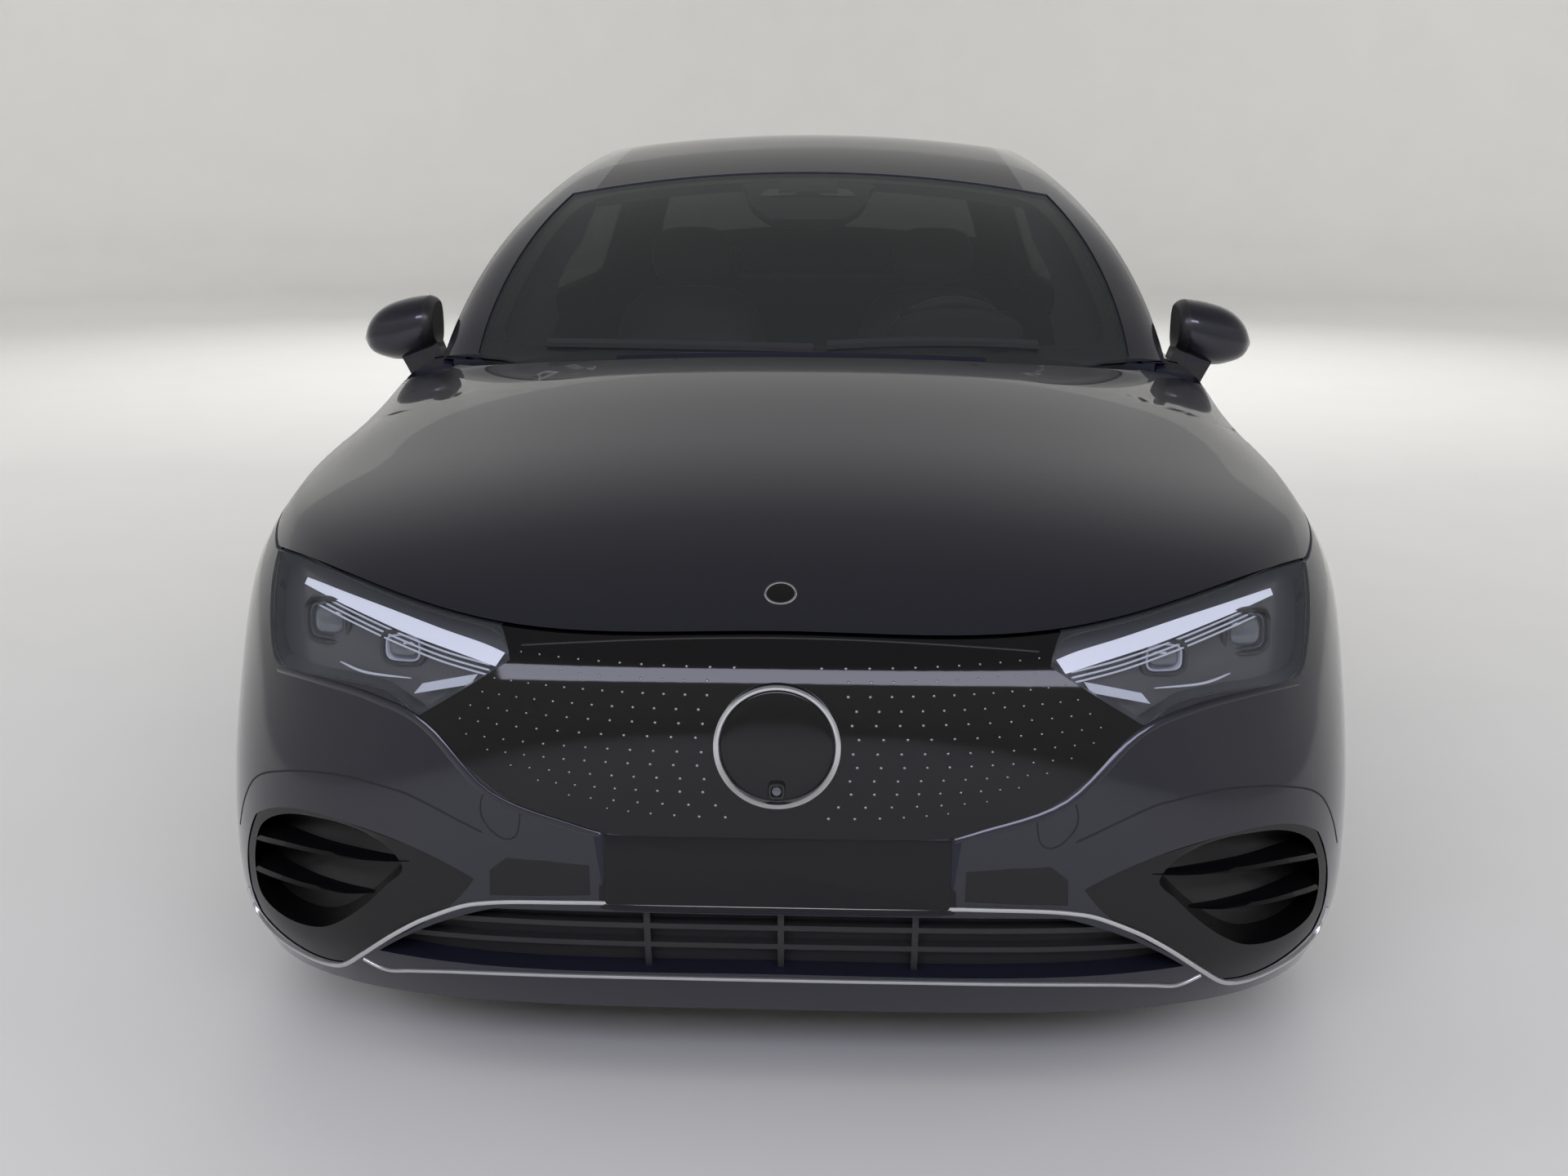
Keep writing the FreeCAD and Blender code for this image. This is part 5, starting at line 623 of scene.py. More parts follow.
def lamp_details(side, turn):
    """A headlamp's backing, light strip, light guides, two projectors and surround."""
    tag = "_" + side
    line = turn(front_skin(LAMP_EDGE, LAMP_DEPTH))
    centre = line.mean(0)
    shares = (0.0, 0.3, 0.6, 0.85)
    verts = [to_frame(q) for share in shares
             for q in nearest_on_form(line + (centre - line) * share, LAMP_DEPTH)]
    verts.append(to_frame(nearest_on_form(centre[None], LAMP_DEPTH)[0]))
    n = len(line)
    faces = between_rings(len(shares), n) + [(3 * n + i, 3 * n + (i + 1) % n, 4 * n) for i in range(n)]
    new_object("lamp_backing" + tag, verts, faces, LAMP_DARK, node="headlamps")
    sheet_between("running_light" + tag, turn(DRL_LOW), turn(DRL_TOP), LIGHT, "headlamps", inset=7.0)
    for k, shift in enumerate((0, 9, 17)):
        guide = turn([(x, s, z - shift) for x, s, z in GUIDE_LINE])
        ribbon("light_guide_%d" % k + tag, guide, 3.2, 2.0, GUIDE, "headlamps", inset=10.0)
    low_line = turn([(-675, 144, 680), (-628, 115, 673), (-550, 84, 675)])
    ribbon("lamp_low_line" + tag, low_line, 4.0, 2.0, GUIDE, "headlamps", inset=14.0, taper=0.6)
    wedge = turn([(-543, 73, 654), (-529, 75, 670), (-441, 59, 692), (-452, 55, 676)])
    sheet_between("lamp_wedge" + tag, [wedge[0], wedge[3]], [wedge[1], wedge[2]], GUIDE, "headlamps",
                  inset=12.0)
    for name, place, half_a, half_b in PROJECTORS:
        (x, s, z), = turn([place])
        at = nearest_on_form(np.array([[x, s, z]], float), 0.0)
        n = smooth_normals(at)[0]
        look = np.array([n[0] * 0.45, n[1], n[2] * 0.2])
        look /= np.linalg.norm(look)
        base = to_frame(at[0]) - look * 0.030
        across = np.cross(look, (0, 0, 1))
        across /= np.linalg.norm(across)
        upwards = np.cross(across, look)

        def ring(half, deep, power=4.0):
            wide, high = half * half_a / 1000, half * half_b / 1000
            return oval_ring(base + look * deep, across, upwards, wide, high, power, 40)
        frame_rings = [ring(1.15, -0.004), ring(1.15, 0.004), ring(1.08, 0.010), ring(0.94, 0.010),
                       ring(0.86, 0.003), ring(0.80, -0.002)]
        loft("projector_frame_" + name + tag, frame_rings, SATIN_BLACK, "headlamps", False, False)
        rim_rings = [ring(0.84, 0.0), ring(0.84, 0.007), ring(0.76, 0.008), ring(0.70, 0.001)]
        rim_mat = GUIDE if name == "inner" else LAMP_DARK
        loft("projector_rim_" + name + tag, rim_rings, rim_mat, "headlamps", False, False)
        dome = [ring(0.72 * math.cos(a), 0.001 + 0.011 * math.sin(a), 3.0) for a in np.linspace(0, 1.45, 7)]
        loft("projector_lens_" + name + tag, dome, BULB, "headlamps", False, True)
    ribbon("lamp_surround" + tag, turn(front_skin(LAMP_EDGE)), 5.0, 1.0, FRIT, "headlamps", inset=4.0,
           closed=True, steps=4)


def mirror_side(points):
    return np.array(points, float) * (-1, 1, 1)


def same_side(points):
    return np.array(points, float)


lamp_details("right", same_side)
lamp_details("left", mirror_side)

# Front panel: cover, camera, pips

COVER_Z = 607.0
PIP_SIDES = 8
# For each row of dots: height, first and last place from the middle, and count
PIP_ROWS = [(715, 62, 372, 11), (697, 92, 392, 11), (678, 100, 410, 12), (658, 104, 428, 12),
            (638, 106, 446, 12), (618, 108, 462, 12), (597, 108, 452, 12), (577, 106, 420, 11),
            (557, 104, 385, 10), (537, 98, 345, 9), (517, 88, 300, 7), (499, 66, 245, 6)]
cover_at = to_frame(front_skin([(0, COVER_Z)])[0])
cover_n = smooth_normals(front_skin([(0, COVER_Z)]))[0]


def front_cover():
    """A plain round cover with a satin bezel, in place of a badge, and the camera below its middle."""
    turned_on("round_cover_bezel", cover_at, cover_n,
              [(0.0905, -0.012), (0.0915, 0.002), (0.0905, 0.0055), (0.0875, 0.0075), (0.0840, 0.0070),
               (0.0815, 0.0045), (0.0805, 0.0)], CHROME, "grille_panel", count=96)
    turned_on("round_cover", cover_at, cover_n,
              [(0.0812, 0.001), (0.0790, 0.0022), (0.0700, 0.0034), (0.0450, 0.0048), (0.0200, 0.0054),
               (0.004, 0.0056)], GLOSS, "grille_panel", count=96, end_cap=True)
    upwards = np.cross(cover_n, (1, 0, 0))
    upwards = -upwards if upwards[2] < 0 else upwards
    low = cover_at - upwards * 0.063
    turned_on("camera_housing", low, cover_n,
              [(0.0125, 0.0), (0.0125, 0.009), (0.0110, 0.0115), (0.0080, 0.0120), (0.0072, 0.0095)],
              SATIN_BLACK,
              "grille_panel", power=3.5)
    turned_on("camera_lens", low, cover_n,
              [(0.0072, 0.0094), (0.0062, 0.0112), (0.0035, 0.0122), (0.0008, 0.0125)],
              BULB, "grille_panel", end_cap=True)


def front_pips():
    """Rows of small plain dots on both halves of the panel."""
    verts, faces = [], []
    across = np.array([1.0, 0, 0])
    for k, (z, first, last, count) in enumerate(PIP_ROWS):
        for i in range(count):
            t = i / (count - 1)
            x = first + (last - first) * (t * (1.12 - 0.12 * t)) + (8 if k % 2 else 0) * (1 - t)
            size = 0.0026 * (1 - 0.35 * t)
            for sign in (-1, 1):
                p = front_skin([(sign * x, z + 10 * t * t)], -0.2)
                n = smooth_normals(p)[0]
                c = to_frame(p[0])
                up_v = np.cross(n, across)
                up_v /= np.linalg.norm(up_v)
                side = np.cross(up_v, n)
                base = len(verts)
                for r, h in ((1.0, -0.0008), (0.85, 0.0006), (0.0, 0.0011)):
                    for a in range(PIP_SIDES if r else 1):
                        w = 2 * math.pi * a / PIP_SIDES
                        verts.append(c + n * h + (side * math.cos(w) + up_v * math.sin(w)) * size * r)
                for a in range(PIP_SIDES):
                    b = (a + 1) % PIP_SIDES
                    faces.append((base + a, base + b, base + PIP_SIDES + b, base + PIP_SIDES + a))
                    faces.append((base + PIP_SIDES + a, base + PIP_SIDES + b, base + 2 * PIP_SIDES))
    new_object("panel_pips", verts, faces, PIP, node="grille_panel")


def bonnet_cap():
    """A small plain round cap on the bonnet's nose, in place of a badge."""
    at = front_skin([(0, 796)])
    n = smooth_normals(at)[0]
    rim = [(0.0240, -0.002), (0.0242, 0.0010), (0.0232, 0.0022), (0.0212, 0.0024), (0.0205, 0.0015)]
    disc = [(0.0206, 0.0013), (0.0150, 0.0020), (0.0070, 0.0024), (0.0010, 0.0025)]
    turned_on("bonnet_cap", to_frame(at[0]), n, rim, CHROME, "bonnet")
    turned_on("bonnet_cap_disc", to_frame(at[0]), n, disc, GLOSS, "bonnet", end_cap=True)


front_cover()
front_pips()
bonnet_cap()
top_line = [(x, 752 - 22 * (abs(x) / 400) ** 2) for x in (-372, -280, -180, -90, 0, 90, 180, 280, 372)]
ribbon("panel_top_line", front_skin(top_line), 3.0, 1.0, SATIN_BLACK, "grille_panel")

# Number plates and holders


def flat_plate(name, x_half, z0, z1, y_back, y_front, mat, radius=0.008, round_by=0.0025):
    """A thin plate with round corners; the face looks from y_back towards y_front."""
    way = 1 if y_front > y_back else -1
    cz, half_z = (z0 + z1) / 2, (z1 - z0) / 2
    rings = []
    for shrink, y in ((0.0, y_back), (0.0, y_front - way * round_by),
                      (round_by * 0.3, y_front - way * round_by * 0.3), (round_by, y_front)):
        rings.append([(a, y, cz + b) for a, b in rounded_corners(x_half, half_z, radius, shrink)])
    return loft(name, rings, mat, "number_plates", angle=30)


def plates():
    """Blank plates on their holders, between two rails in front."""
    (_, front_y, _), (_, back_y, _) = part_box("number_plates")
    pieces = [
        flat_plate("plate_holder_front", 0.262, 0.346, 0.474, front_y + 0.020, front_y + 0.004, PLATE),
        flat_plate("plate_front", 0.252, 0.356, 0.466, front_y + 0.006, front_y + 0.0005, PLATE, 0.005,
                   0.001),
        flat_plate("plate_holder_rear", 0.262, 0.496, 0.618, back_y - 0.020, back_y - 0.004, PLATE),
        flat_plate("plate_rear", 0.252, 0.505, 0.610, back_y - 0.006, back_y - 0.0005, PLATE, 0.005, 0.001)]
    depth, rail = front_y + 0.004, 0.0035
    for name, z in (("front_top", 0.4695), ("front_low", 0.3515)):
        pieces.append(flat_plate("plate_rail_" + name, 0.255, z - rail, z + rail, depth, depth - rail, PLATE,
                                 0.003, 0.0015))
    for piece in pieces:
        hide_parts("number_plates")


plates()

# Bumper: intakes, chrome, lip, covers

INTAKE_EDGE = [(-448, 386), (-534, 427), (-667, 454), (-762, 450), (-827, 417), (-851, 355), (-853, 281),
               (-838, 240), (-772, 206), (-710, 197), (-658, 212), (-572, 279), (-496, 332)]
INTAKE_HOLE = [(-560, 392), (-596, 430), (-668, 447), (-752, 441), (-812, 408), (-836, 355), (-838, 300),
               (-822, 272), (-772, 258), (-716, 262), (-672, 284), (-625, 322), (-588, 360)]
CHROME_LINE = [(-868, 268), (-858, 232), (-820, 205), (-770, 192), (-720, 187), (-683, 196), (-640, 232),
               (-597, 268), (-558, 296), (-524, 316), (-471, 340), (-431, 349), (-376, 354), (-272, 357)]
LIP = [(-640, 222), (-604, 206), (-560, 212), (-491, 219), (-387, 223), (-236, 225), (-100, 225), (0, 225)]
FINS = [[(-836, 372), (-770, 386), (-690, 392), (-600, 398), (-548, 404)],
        [(-838, 318), (-790, 326), (-720, 330), (-655, 336), (-608, 345)]]


def intake_details(side, turn):
    """The blade round the opening, its inner wall, a honeycomb behind it and two pointed fins."""
    tag = "_" + side
    outer_line = front_skin(flow(INTAKE_EDGE, 5, closed=True), 1.5)
    inner_line = front_skin(flow(INTAKE_HOLE, 5, closed=True), 1.5)
    deep_line = inner_line + (0, 70, 0)
    n = len(outer_line)
    rows = [outer_line + (0, 14, 0), outer_line]
    for k in (1, 2, 3):
        rows.append(front_skin((outer_line + (inner_line - outer_line) * k / 4)[:, [0, 2]], 1.5 + 3 * k / 4))
    rows += [inner_line + (0, 4, 0), inner_line + (0, 10, 0), deep_line]
    verts = [to_frame(p) for row in rows for p in turn(row)]
    blade = new_object("intake_blade" + tag, verts, between_rings(len(rows), n), GLOSS, node="side_intakes",
                       angle=40)
    centre = deep_line.mean(0)
    rings = [deep_line + (centre - deep_line) * share for share in (0.0, 0.25, 0.5, 0.75, 0.99)]
    comb = new_object("intake_honeycomb" + tag, [to_frame(p) for ring in rings for p in turn(ring)],
                      between_rings(len(rings), n), MESH_BLACK, node="side_intakes")
    pieces = [blade, comb]
    for k, line in enumerate(FINS):
        front = front_skin(flow(line, 4), 3.0)
        share = np.linspace(1, 0, len(front))[:, None]
        half = 9.0 * share ** 0.6
        rings = []
        for p, h, q in zip(front, half[:, 0], share[:, 0]):
            back = 8 + 62 * q
            section = [(0, back, h), (0, 6, h * 0.7), (0, 0, 0), (0, 6, -h * 0.7), (0, back, -h)]
            rings.append([to_frame(c) for c in turn([p + step for step in section])])
        pieces.append(loft("intake_fin_%d" % k + tag, rings, GLOSS, "side_intakes", angle=30))
    for piece in pieces:
        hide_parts("side_intakes")


def bumper_details(side, turn):
    """Chrome sweep and the ledge below the lamp, with painted shade for the inner slot, the intake lip and
    the tow cover's line.
    """
    tag = "_" + side
    ribbon("chrome_sweep" + tag, turn(front_skin(CHROME_LINE)), 8.0, 3.5, CHROME, "front_bumper", sink=4.0)
    # painted shade: a near-black patch in the slot's outline beside the plate stands for the dark opening
    # there
    slot_line = [(-423, 402), (-397, 424), (-335, 422), (-274, 417), (-274, 368), (-350, 364), (-425, 361)]
    slot_line = turn([(x, 0, z) for x, z in slot_line])[:, [0, 2]]
    plate_on_front("inner_slot_shade" + tag, slot_line, 0.4, SHADE, "front_bumper", rings=4, rim=2.0)
    # painted shade: a thin near-black line along the intake's lip
    ribbon("intake_lip_shade" + tag, turn([(-871, 232, 371), (-820, 200, 462), (-760, 137, 503), (-665, 86, 520),
                                     (-579, 52, 515), (-524, 36, 502), (-432, 16, 462)]),
           3.0, 0.7, SHADE, "front_bumper", sink=1.0)
    # painted shade: a thin near-black ring stands for the shade in the tow cover's cut
    tow = turn([(-431, 17, 486), (-427, 19, 521), (-402, 16, 528), (-375, 11, 508), (-380, 11, 461),
                (-405, 13, 456)])
    ribbon("tow_cover_shade_line" + tag, tow, 2.2, 0.35, SHADE, "front_bumper", sink=1.0, closed=True)
    crease = turn([(-782, 217, 640), (-700, 150, 646), (-605, 94, 640), (-517, 54, 612), (-417, 18, 520),
                   (-297, 4, 478), (-256, 2, 467)])
    ribbon("lamp_ledge" + tag, crease, 13.0, 3.2, PAINT, "front_bumper", sink=1.0, taper=0.35,
           section=[(-0.5, -1), (-0.5, 0.05), (-0.3, 0.55), (0.0, 0.95), (0.25, 1.0), (0.45, 0.6), (0.5, -1)])


for side_name, turn in (("right", same_side), ("left", mirror_side)):
    bumper_details(side_name, turn)
    intake_details(side_name, turn)
lip_line = front_skin(LIP + [(-x, z) for x, z in LIP[-2::-1]])
ribbon("lower_lip_line", lip_line, 7.0, 3.0, CHROME, "front_bumper", sink=3.0)
middle_line = front_skin([(x, 357) for x in (-272, -140, 0, 140, 272)])
ribbon("chrome_middle", middle_line, 8.0, 3.5, CHROME, "front_bumper", sink=4.0)

# Windscreen border, sensor housing, side trims


GLASS_EDGE = [(0, 1268), (200, 1272), (400, 1294), (560, 1326), (660, 1358), (728, 1400), (737, 1450),
              (731, 1600), (716, 1750), (694, 1900), (664, 2040), (618, 2168), (560, 2186), (400, 2196),
              (200, 2200), (0, 2201)]
CLEAR_EDGE = [(0, 1316), (200, 1320), (400, 1342), (540, 1374), (625, 1408), (678, 1462), (686, 1530),
              (676, 1640), (660, 1770), (640, 1905), (612, 2035), (576, 2112), (520, 2138), (380, 2146),
              (200, 2149), (0, 2150)]


def windscreen_border():
    """The black band printed round the windscreen's edge."""
    outer_line = flow(GLASS_EDGE, 5)
    inner_line = flow(CLEAR_EDGE, 5)
    outer_line = np.vstack([outer_line, (outer_line * (-1, 1))[-2:0:-1]])
    inner_line = np.vstack([inner_line, (inner_line * (-1, 1))[-2:0:-1]])
    rows = [top_skin(outer_line + (inner_line - outer_line) * k / 4, 10.5) for k in range(5)]
    border = new_object("windscreen_border", [to_frame(p) for row in rows for p in row],
                        between_rings(len(rows), len(outer_line)), FRIT, node="windscreen")


windscreen_border()


def sensor_housing():
    """The black housing behind the top of the windscreen, with two clear windows in the border."""
    outline = [(-150, 1985), (-158, 2070), (-150, 2148), (150, 2148), (158, 2070), (150, 1985), (108, 1902),
               (70, 1872), (-70, 1872), (-108, 1902)]
    line = flow(outline, 4, closed=True)
    centre = line.mean(0)
    rings = []
    for share, deep in ((0.0, 11.5), (0.0, 20), (0.05, 34), (0.2, 42), (0.55, 45)):
        rings.append([to_frame(p) for p in top_skin(line + (centre - line) * share, deep)])
    front = [to_frame(p) for p in top_skin(line * 0.999, 11.5)]
    loft("sensor_housing", [front] + rings[1:], SATIN_BLACK, "windscreen", True, True)
    for sign in (-1, 1):
        frame_line = [(sign * x, s) for x, s in ((30, 2040), (46, 2084), (98, 2084), (122, 2036), (80, 2030))]
        ring = flow(frame_line, 4, closed=True)
        verts = [to_frame(p) for p in top_skin(ring, 10.9)]
        verts.append(to_frame(top_skin([ring.mean(0)], 10.9)[0]))
        n = len(ring)
        window = new_object("sensor_window_%s" % ("left" if sign > 0 else "right"), verts,
                            [(i, (i + 1) % n, n) for i in range(n)], SCREEN_GREY, node="windscreen")


sensor_housing()


def glass_foot(node, count=9):
    """Points (x, s, z) along the lower edge of a side window."""
    me = NODES[node].data
    co = np.empty(len(me.vertices) * 3)
    me.vertices.foreach_get("co", co)
    p = to_form(co.reshape(-1, 3))
    first, last = p[:, 1].min(), p[:, 1].max()
    out = []
    for s0 in np.linspace(first + 12, last - 12, count):
        band = p[np.abs(p[:, 1] - s0) < 60]
        low = band[band[:, 2] < band[:, 2].min() + 4]
        out.append((low[:, 0].mean(), s0, low[:, 2].mean()))
    return out


def side_trims():
    """A satin strip along the foot of each side window."""
    for side, sign in (("left", 1), ("right", -1)):
        for door in ("front", "rear"):
            foot = glass_foot("%s_door_glass_%s" % (door, side))
            foot = np.array([p for p in foot if p[2] < min(q[2] for q in foot) + 45])
            along = np.linspace(foot[0, 1], foot[-1, 1], 9)
            x, z = (np.polyval(np.polyfit(foot[:, 1], foot[:, k], 1), along) for k in (0, 2))
            line = nearest_on_form(np.stack([x + sign * 6, along, z - 10], 1))
            strip = ribbon("belt_strip_%s_%s" % (door, side), line, 12.0, 2.5, CHROME,
                           "%s_door_%s" % (door, side), sink=3.0)


side_trims()

HANDLES = {"front": (2240, 2410), "rear": (3330, 3500)}
HANDLE_Z, HANDLE_RISE = 872.0, 8.0


def door_handles():
    """Flush handles, each a strip over a slightly larger dark strip of painted shade for the gap round it."""
    for side, sign in (("left", 1), ("right", -1)):
        for door, (first, last) in HANDLES.items():
            line = []
            for s0 in np.linspace(first, last, 6):
                p = np.array([[sign * 950.0, s0, HANDLE_Z + HANDLE_RISE * (s0 - first) / (last - first)]])
                for _ in range(10):
                    depth, n = sharp_depth(p)
                    p[:, 0] += sign * (depth / np.maximum(sign * n[:, 0], 0.3))
                line.append(p[0])
            node = "%s_door_%s" % (door, side)
            # painted shade: a near-black strip a little wider than the handle stands for the shade in its gap
            ribbon("handle_gap_%s_%s" % (door, side), line, 31.0, 0.4, SHADE, node, sink=1.0)
            first_end, last_end = (line[a] * 0.97 + line[b] * 0.03 for a, b in ((0, 1), (-1, -2)))
            ribbon("handle_%s_%s" % (door, side), [first_end] + line[1:-1] + [last_end], 25.0, 3.0, PAINT,
                   node, sink=1.0)


door_handles()

# Door mirrors

MIRROR_LOW, MIRROR_IN = 0.965, 0.895


def mirrors():
    """Each mirror's faces take paint above, black below and a mirror behind."""
    for side in ("left", "right"):
        node = "mirror_" + side
        me = NODES[node].data.copy()
        ob = bpy.data.objects.new("mirror_cap_" + side, me)
        scene.collection.objects.link(ob)
        me.materials.clear()
        for m in (PAINT, SATIN_BLACK, MIRROR_GLASS):
            me.materials.append(m)
        for poly in me.polygons:
            c, n = poly.center, poly.normal
            if c.z < MIRROR_LOW or abs(c.x) < MIRROR_IN:
                poly.material_index = 1
            elif n.y > 0.93 and abs(c.x) > MIRROR_IN + 0.015:
                poly.material_index = 2
            elif n.y > 0.55:
                poly.material_index = 1
        me.polygons.foreach_set("use_smooth", [True] * len(me.polygons))
        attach(ob, BODY_OF[node])
        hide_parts(node)


mirrors()

# Wheels

BEAD_RADIUS, GROOVE, TREAD_STEPS = 0.2545, 7.0, 216


def tyre(name, node):
    """A lathed tyre with a bead, bulged sides, four grooves and cut shoulder blocks."""
    lo, hi = (np.array(v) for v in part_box(node))
    cx, cy, cz = (lo + hi) / 2
    half = (hi[0] - lo[0]) / 2
    radius = (hi[2] - lo[2]) / 2
    inner = BEAD_RADIUS
    side = [(-0.84, inner), (-0.90, inner + 0.006), (-0.96, inner + 0.022), (-1.0, inner + 0.050),
            (-0.985, inner + 0.072)]
    # Place across the half width, and depth below the tread
    worn = [(-0.94, 18.0), (-0.90, 10.0), (-0.86, 5.5), (-0.78, 2.2), (-0.66, 0.8), (-0.58, 0.4),
            (-0.56, GROOVE), (-0.46, GROOVE), (-0.44, 0.2), (-0.24, 0.1), (-0.22, GROOVE), (-0.12, GROOVE),
            (-0.10, 0.0)]
    half_profile = side + [(a, radius - deep / 1000) for a, deep in worn]
    profile = half_profile + [(-a, r) for a, r in half_profile[::-1]]
    count = TREAD_STEPS
    verts, faces = [], []
    k = len(profile)
    for i in range(count):
        w = 2 * math.pi * i / count
        for j, (a, r) in enumerate(profile):
            cut = 0.0
            if i % 3 == 0 and 0.6 < abs(a) < 0.88:
                cut = 0.0042
            if (i + (1 if a > 0 else 2)) % 4 == 0 and abs(a) < 0.45 and r > radius - 0.004:
                cut = 0.0022
            rr = r - cut
            shift = 0.004 * (abs(a) - 0.5) if cut else 0
            verts.append((cx + a * half, cy + rr * math.cos(w + shift), cz + rr * math.sin(w + shift)))
    for i in range(count):
        n = (i + 1) % count
        for j in range(k - 1):
            faces.append((i * k + j, i * k + j + 1, n * k + j + 1, n * k + j))
        faces.append((i * k + k - 1, i * k, n * k, n * k + k - 1))
    ob = new_object(name, verts, faces, TYRE, node=node, angle=32)
    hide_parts(node)


for end in ("front", "rear"):
    for side in ("left", "right"):
        tyre("tread_%s_%s" % (end, side), "tyre_%s_%s" % (end, side))

# Seats


def pad(name, centre, half, node, lean=0.0, power=(3.4, 3.4, 2.6), crown=0.022, channels=5, taper=0.0):
    """A crowned pad: a rounded closed form that swells between sewn channels, with pinched sides."""
    n_u, n_v, seam = 46, 30, 0.004
    px, py, pz = power
    verts = []

    def sgn(v, e):
        return math.copysign(abs(v) ** e, v)
    tilt = Matrix.Rotation(math.radians(lean), 4, "X")
    for j in range(n_v + 1):
        v = -math.pi / 2 + math.pi * j / n_v
        for i in range(n_u):
            u = 2 * math.pi * i / n_u
            x = sgn(math.cos(v), 2 / pz) * sgn(math.cos(u), 2 / px)
            y = sgn(math.cos(v), 2 / pz) * sgn(math.sin(u), 2 / py)
            z = sgn(math.sin(v), 2 / pz)
            pinch = 1 - 0.035 * (1 - z * z) * (abs(x) > 0.7 or abs(y) > 0.7)
            q = [x * half[0] * pinch * (1 - taper * y), y * half[1] * pinch, z * half[2]]
            inside = max(0.0, 1 - abs(x) ** 4) * max(0.0, 1 - abs(y) ** 4)
            if z > 0:
                q[2] += crown * inside
                if channels:
                    t = y * channels / 1.7
                    near = abs(t - round(t))
                    if abs(x) < 0.62 and abs(round(t)) <= channels * 0.45:
                        q[2] -= seam * math.exp(-(near / 0.10) ** 2)
                edge = abs(abs(x) - 0.66)
                q[2] -= seam * 1.4 * math.exp(-(edge / 0.035) ** 2) * inside
            verts.append(Vector(centre) + tilt @ Vector(q))
    ob = new_object(name, verts, between_rings(n_v + 1, n_u), LEATHER, node=node)
    bm = bmesh.new()
    bm.from_mesh(ob.data)
    bmesh.ops.remove_doubles(bm, verts=bm.verts, dist=1e-5)
    bm.to_mesh(ob.data)
    bm.free()
    mod = ob.modifiers.new("soft", "SUBSURF")
    mod.levels = mod.render_levels = 1
    with bpy.context.temp_override(object=ob, active_object=ob, selected_objects=[ob]):
        bpy.ops.object.modifier_apply(modifier=mod.name)
    return ob


def car_seat(tag, x):
    """A front seat: cushion, back and head rest as sewn pads on a moulded base."""
    pieces = [
        pad("seat_cushion_" + tag, (x, -0.1335, 0.448), (0.250, 0.255, 0.090), "front_seats"),
        pad("seat_back_" + tag, (x, 0.194, 0.796), (0.250, 0.285, 0.050), "front_seats", 73.4, channels=6,
            crown=0.014, taper=0.10),
        pad("seat_head_" + tag, (x, 0.272, 1.150), (0.126, 0.090, 0.036), "front_seats", 78.0, channels=0,
            crown=0.008, power=(3.0, 3.0, 2.4))]
    rings = [oval_ring((x, -0.125, z), (1, 0, 0), (0, 1, 0), 0.20 * k, 0.19 * k, 6.0, 40)
             for z, k in ((0.301, 1.0), (0.32, 1.0), (0.36, 0.94), (0.385, 0.97), (0.40, 0.98))]
    pieces.append(loft("seat_base_" + tag, rings, MATTE, "front_seats"))
    for piece in pieces:
        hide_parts("front_seats")


def rear_seats():
    """The bench: cushion, back and two head rests as sewn pads."""
    pieces = [
        pad("bench_cushion", (0, 0.816, 0.437), (0.583, 0.256, 0.128), "rear_bench", channels=4, crown=0.016,
            power=(5, 3.6, 3.6)),
        pad("bench_back", (0, 1.164, 0.804), (0.583, 0.243, 0.050), "rear_bench", 72.8, crown=0.014,
            power=(5, 3.6, 3.0))]
    for tag, x in (("left", 0.381), ("right", -0.381)):
        pieces.append(pad("bench_head_" + tag, (x, 1.246, 1.079), (0.120, 0.064, 0.033), "rear_bench", 79.0,
                          channels=0, crown=0.006, power=(3.0, 3.0, 2.4)))
    for piece in pieces:
        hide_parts("rear_bench")


car_seat("left", 0.370)
car_seat("right", -0.370)
rear_seats()

# Dashboard


def bevelled_panel(name, corners, thick, mat, node, radius=0.012):
    """A thin panel with round corners: corners are low left, low right, high left as (x, y, z)."""
    a, b, c = (np.array(v, float) for v in corners)
    across, upwards = b - a, c - a
    wide, high = np.linalg.norm(across), np.linalg.norm(upwards)
    across, upwards = across / wide, upwards / high
    out = np.cross(across, upwards)
    centre = a + across * wide / 2 + upwards * high / 2
    rings = []
    for deep, shrink in ((0.0, 0.0), (thick * 0.7, 0.0), (thick * 0.93, radius * 0.12),
                         (thick, radius * 0.35)):
        rings.append([centre + out * deep + across * x + upwards * y
                      for x, y in rounded_corners(wide / 2, high / 2, radius, shrink)])
    ob = loft(name, rings, mat, node, angle=30)
    return ob


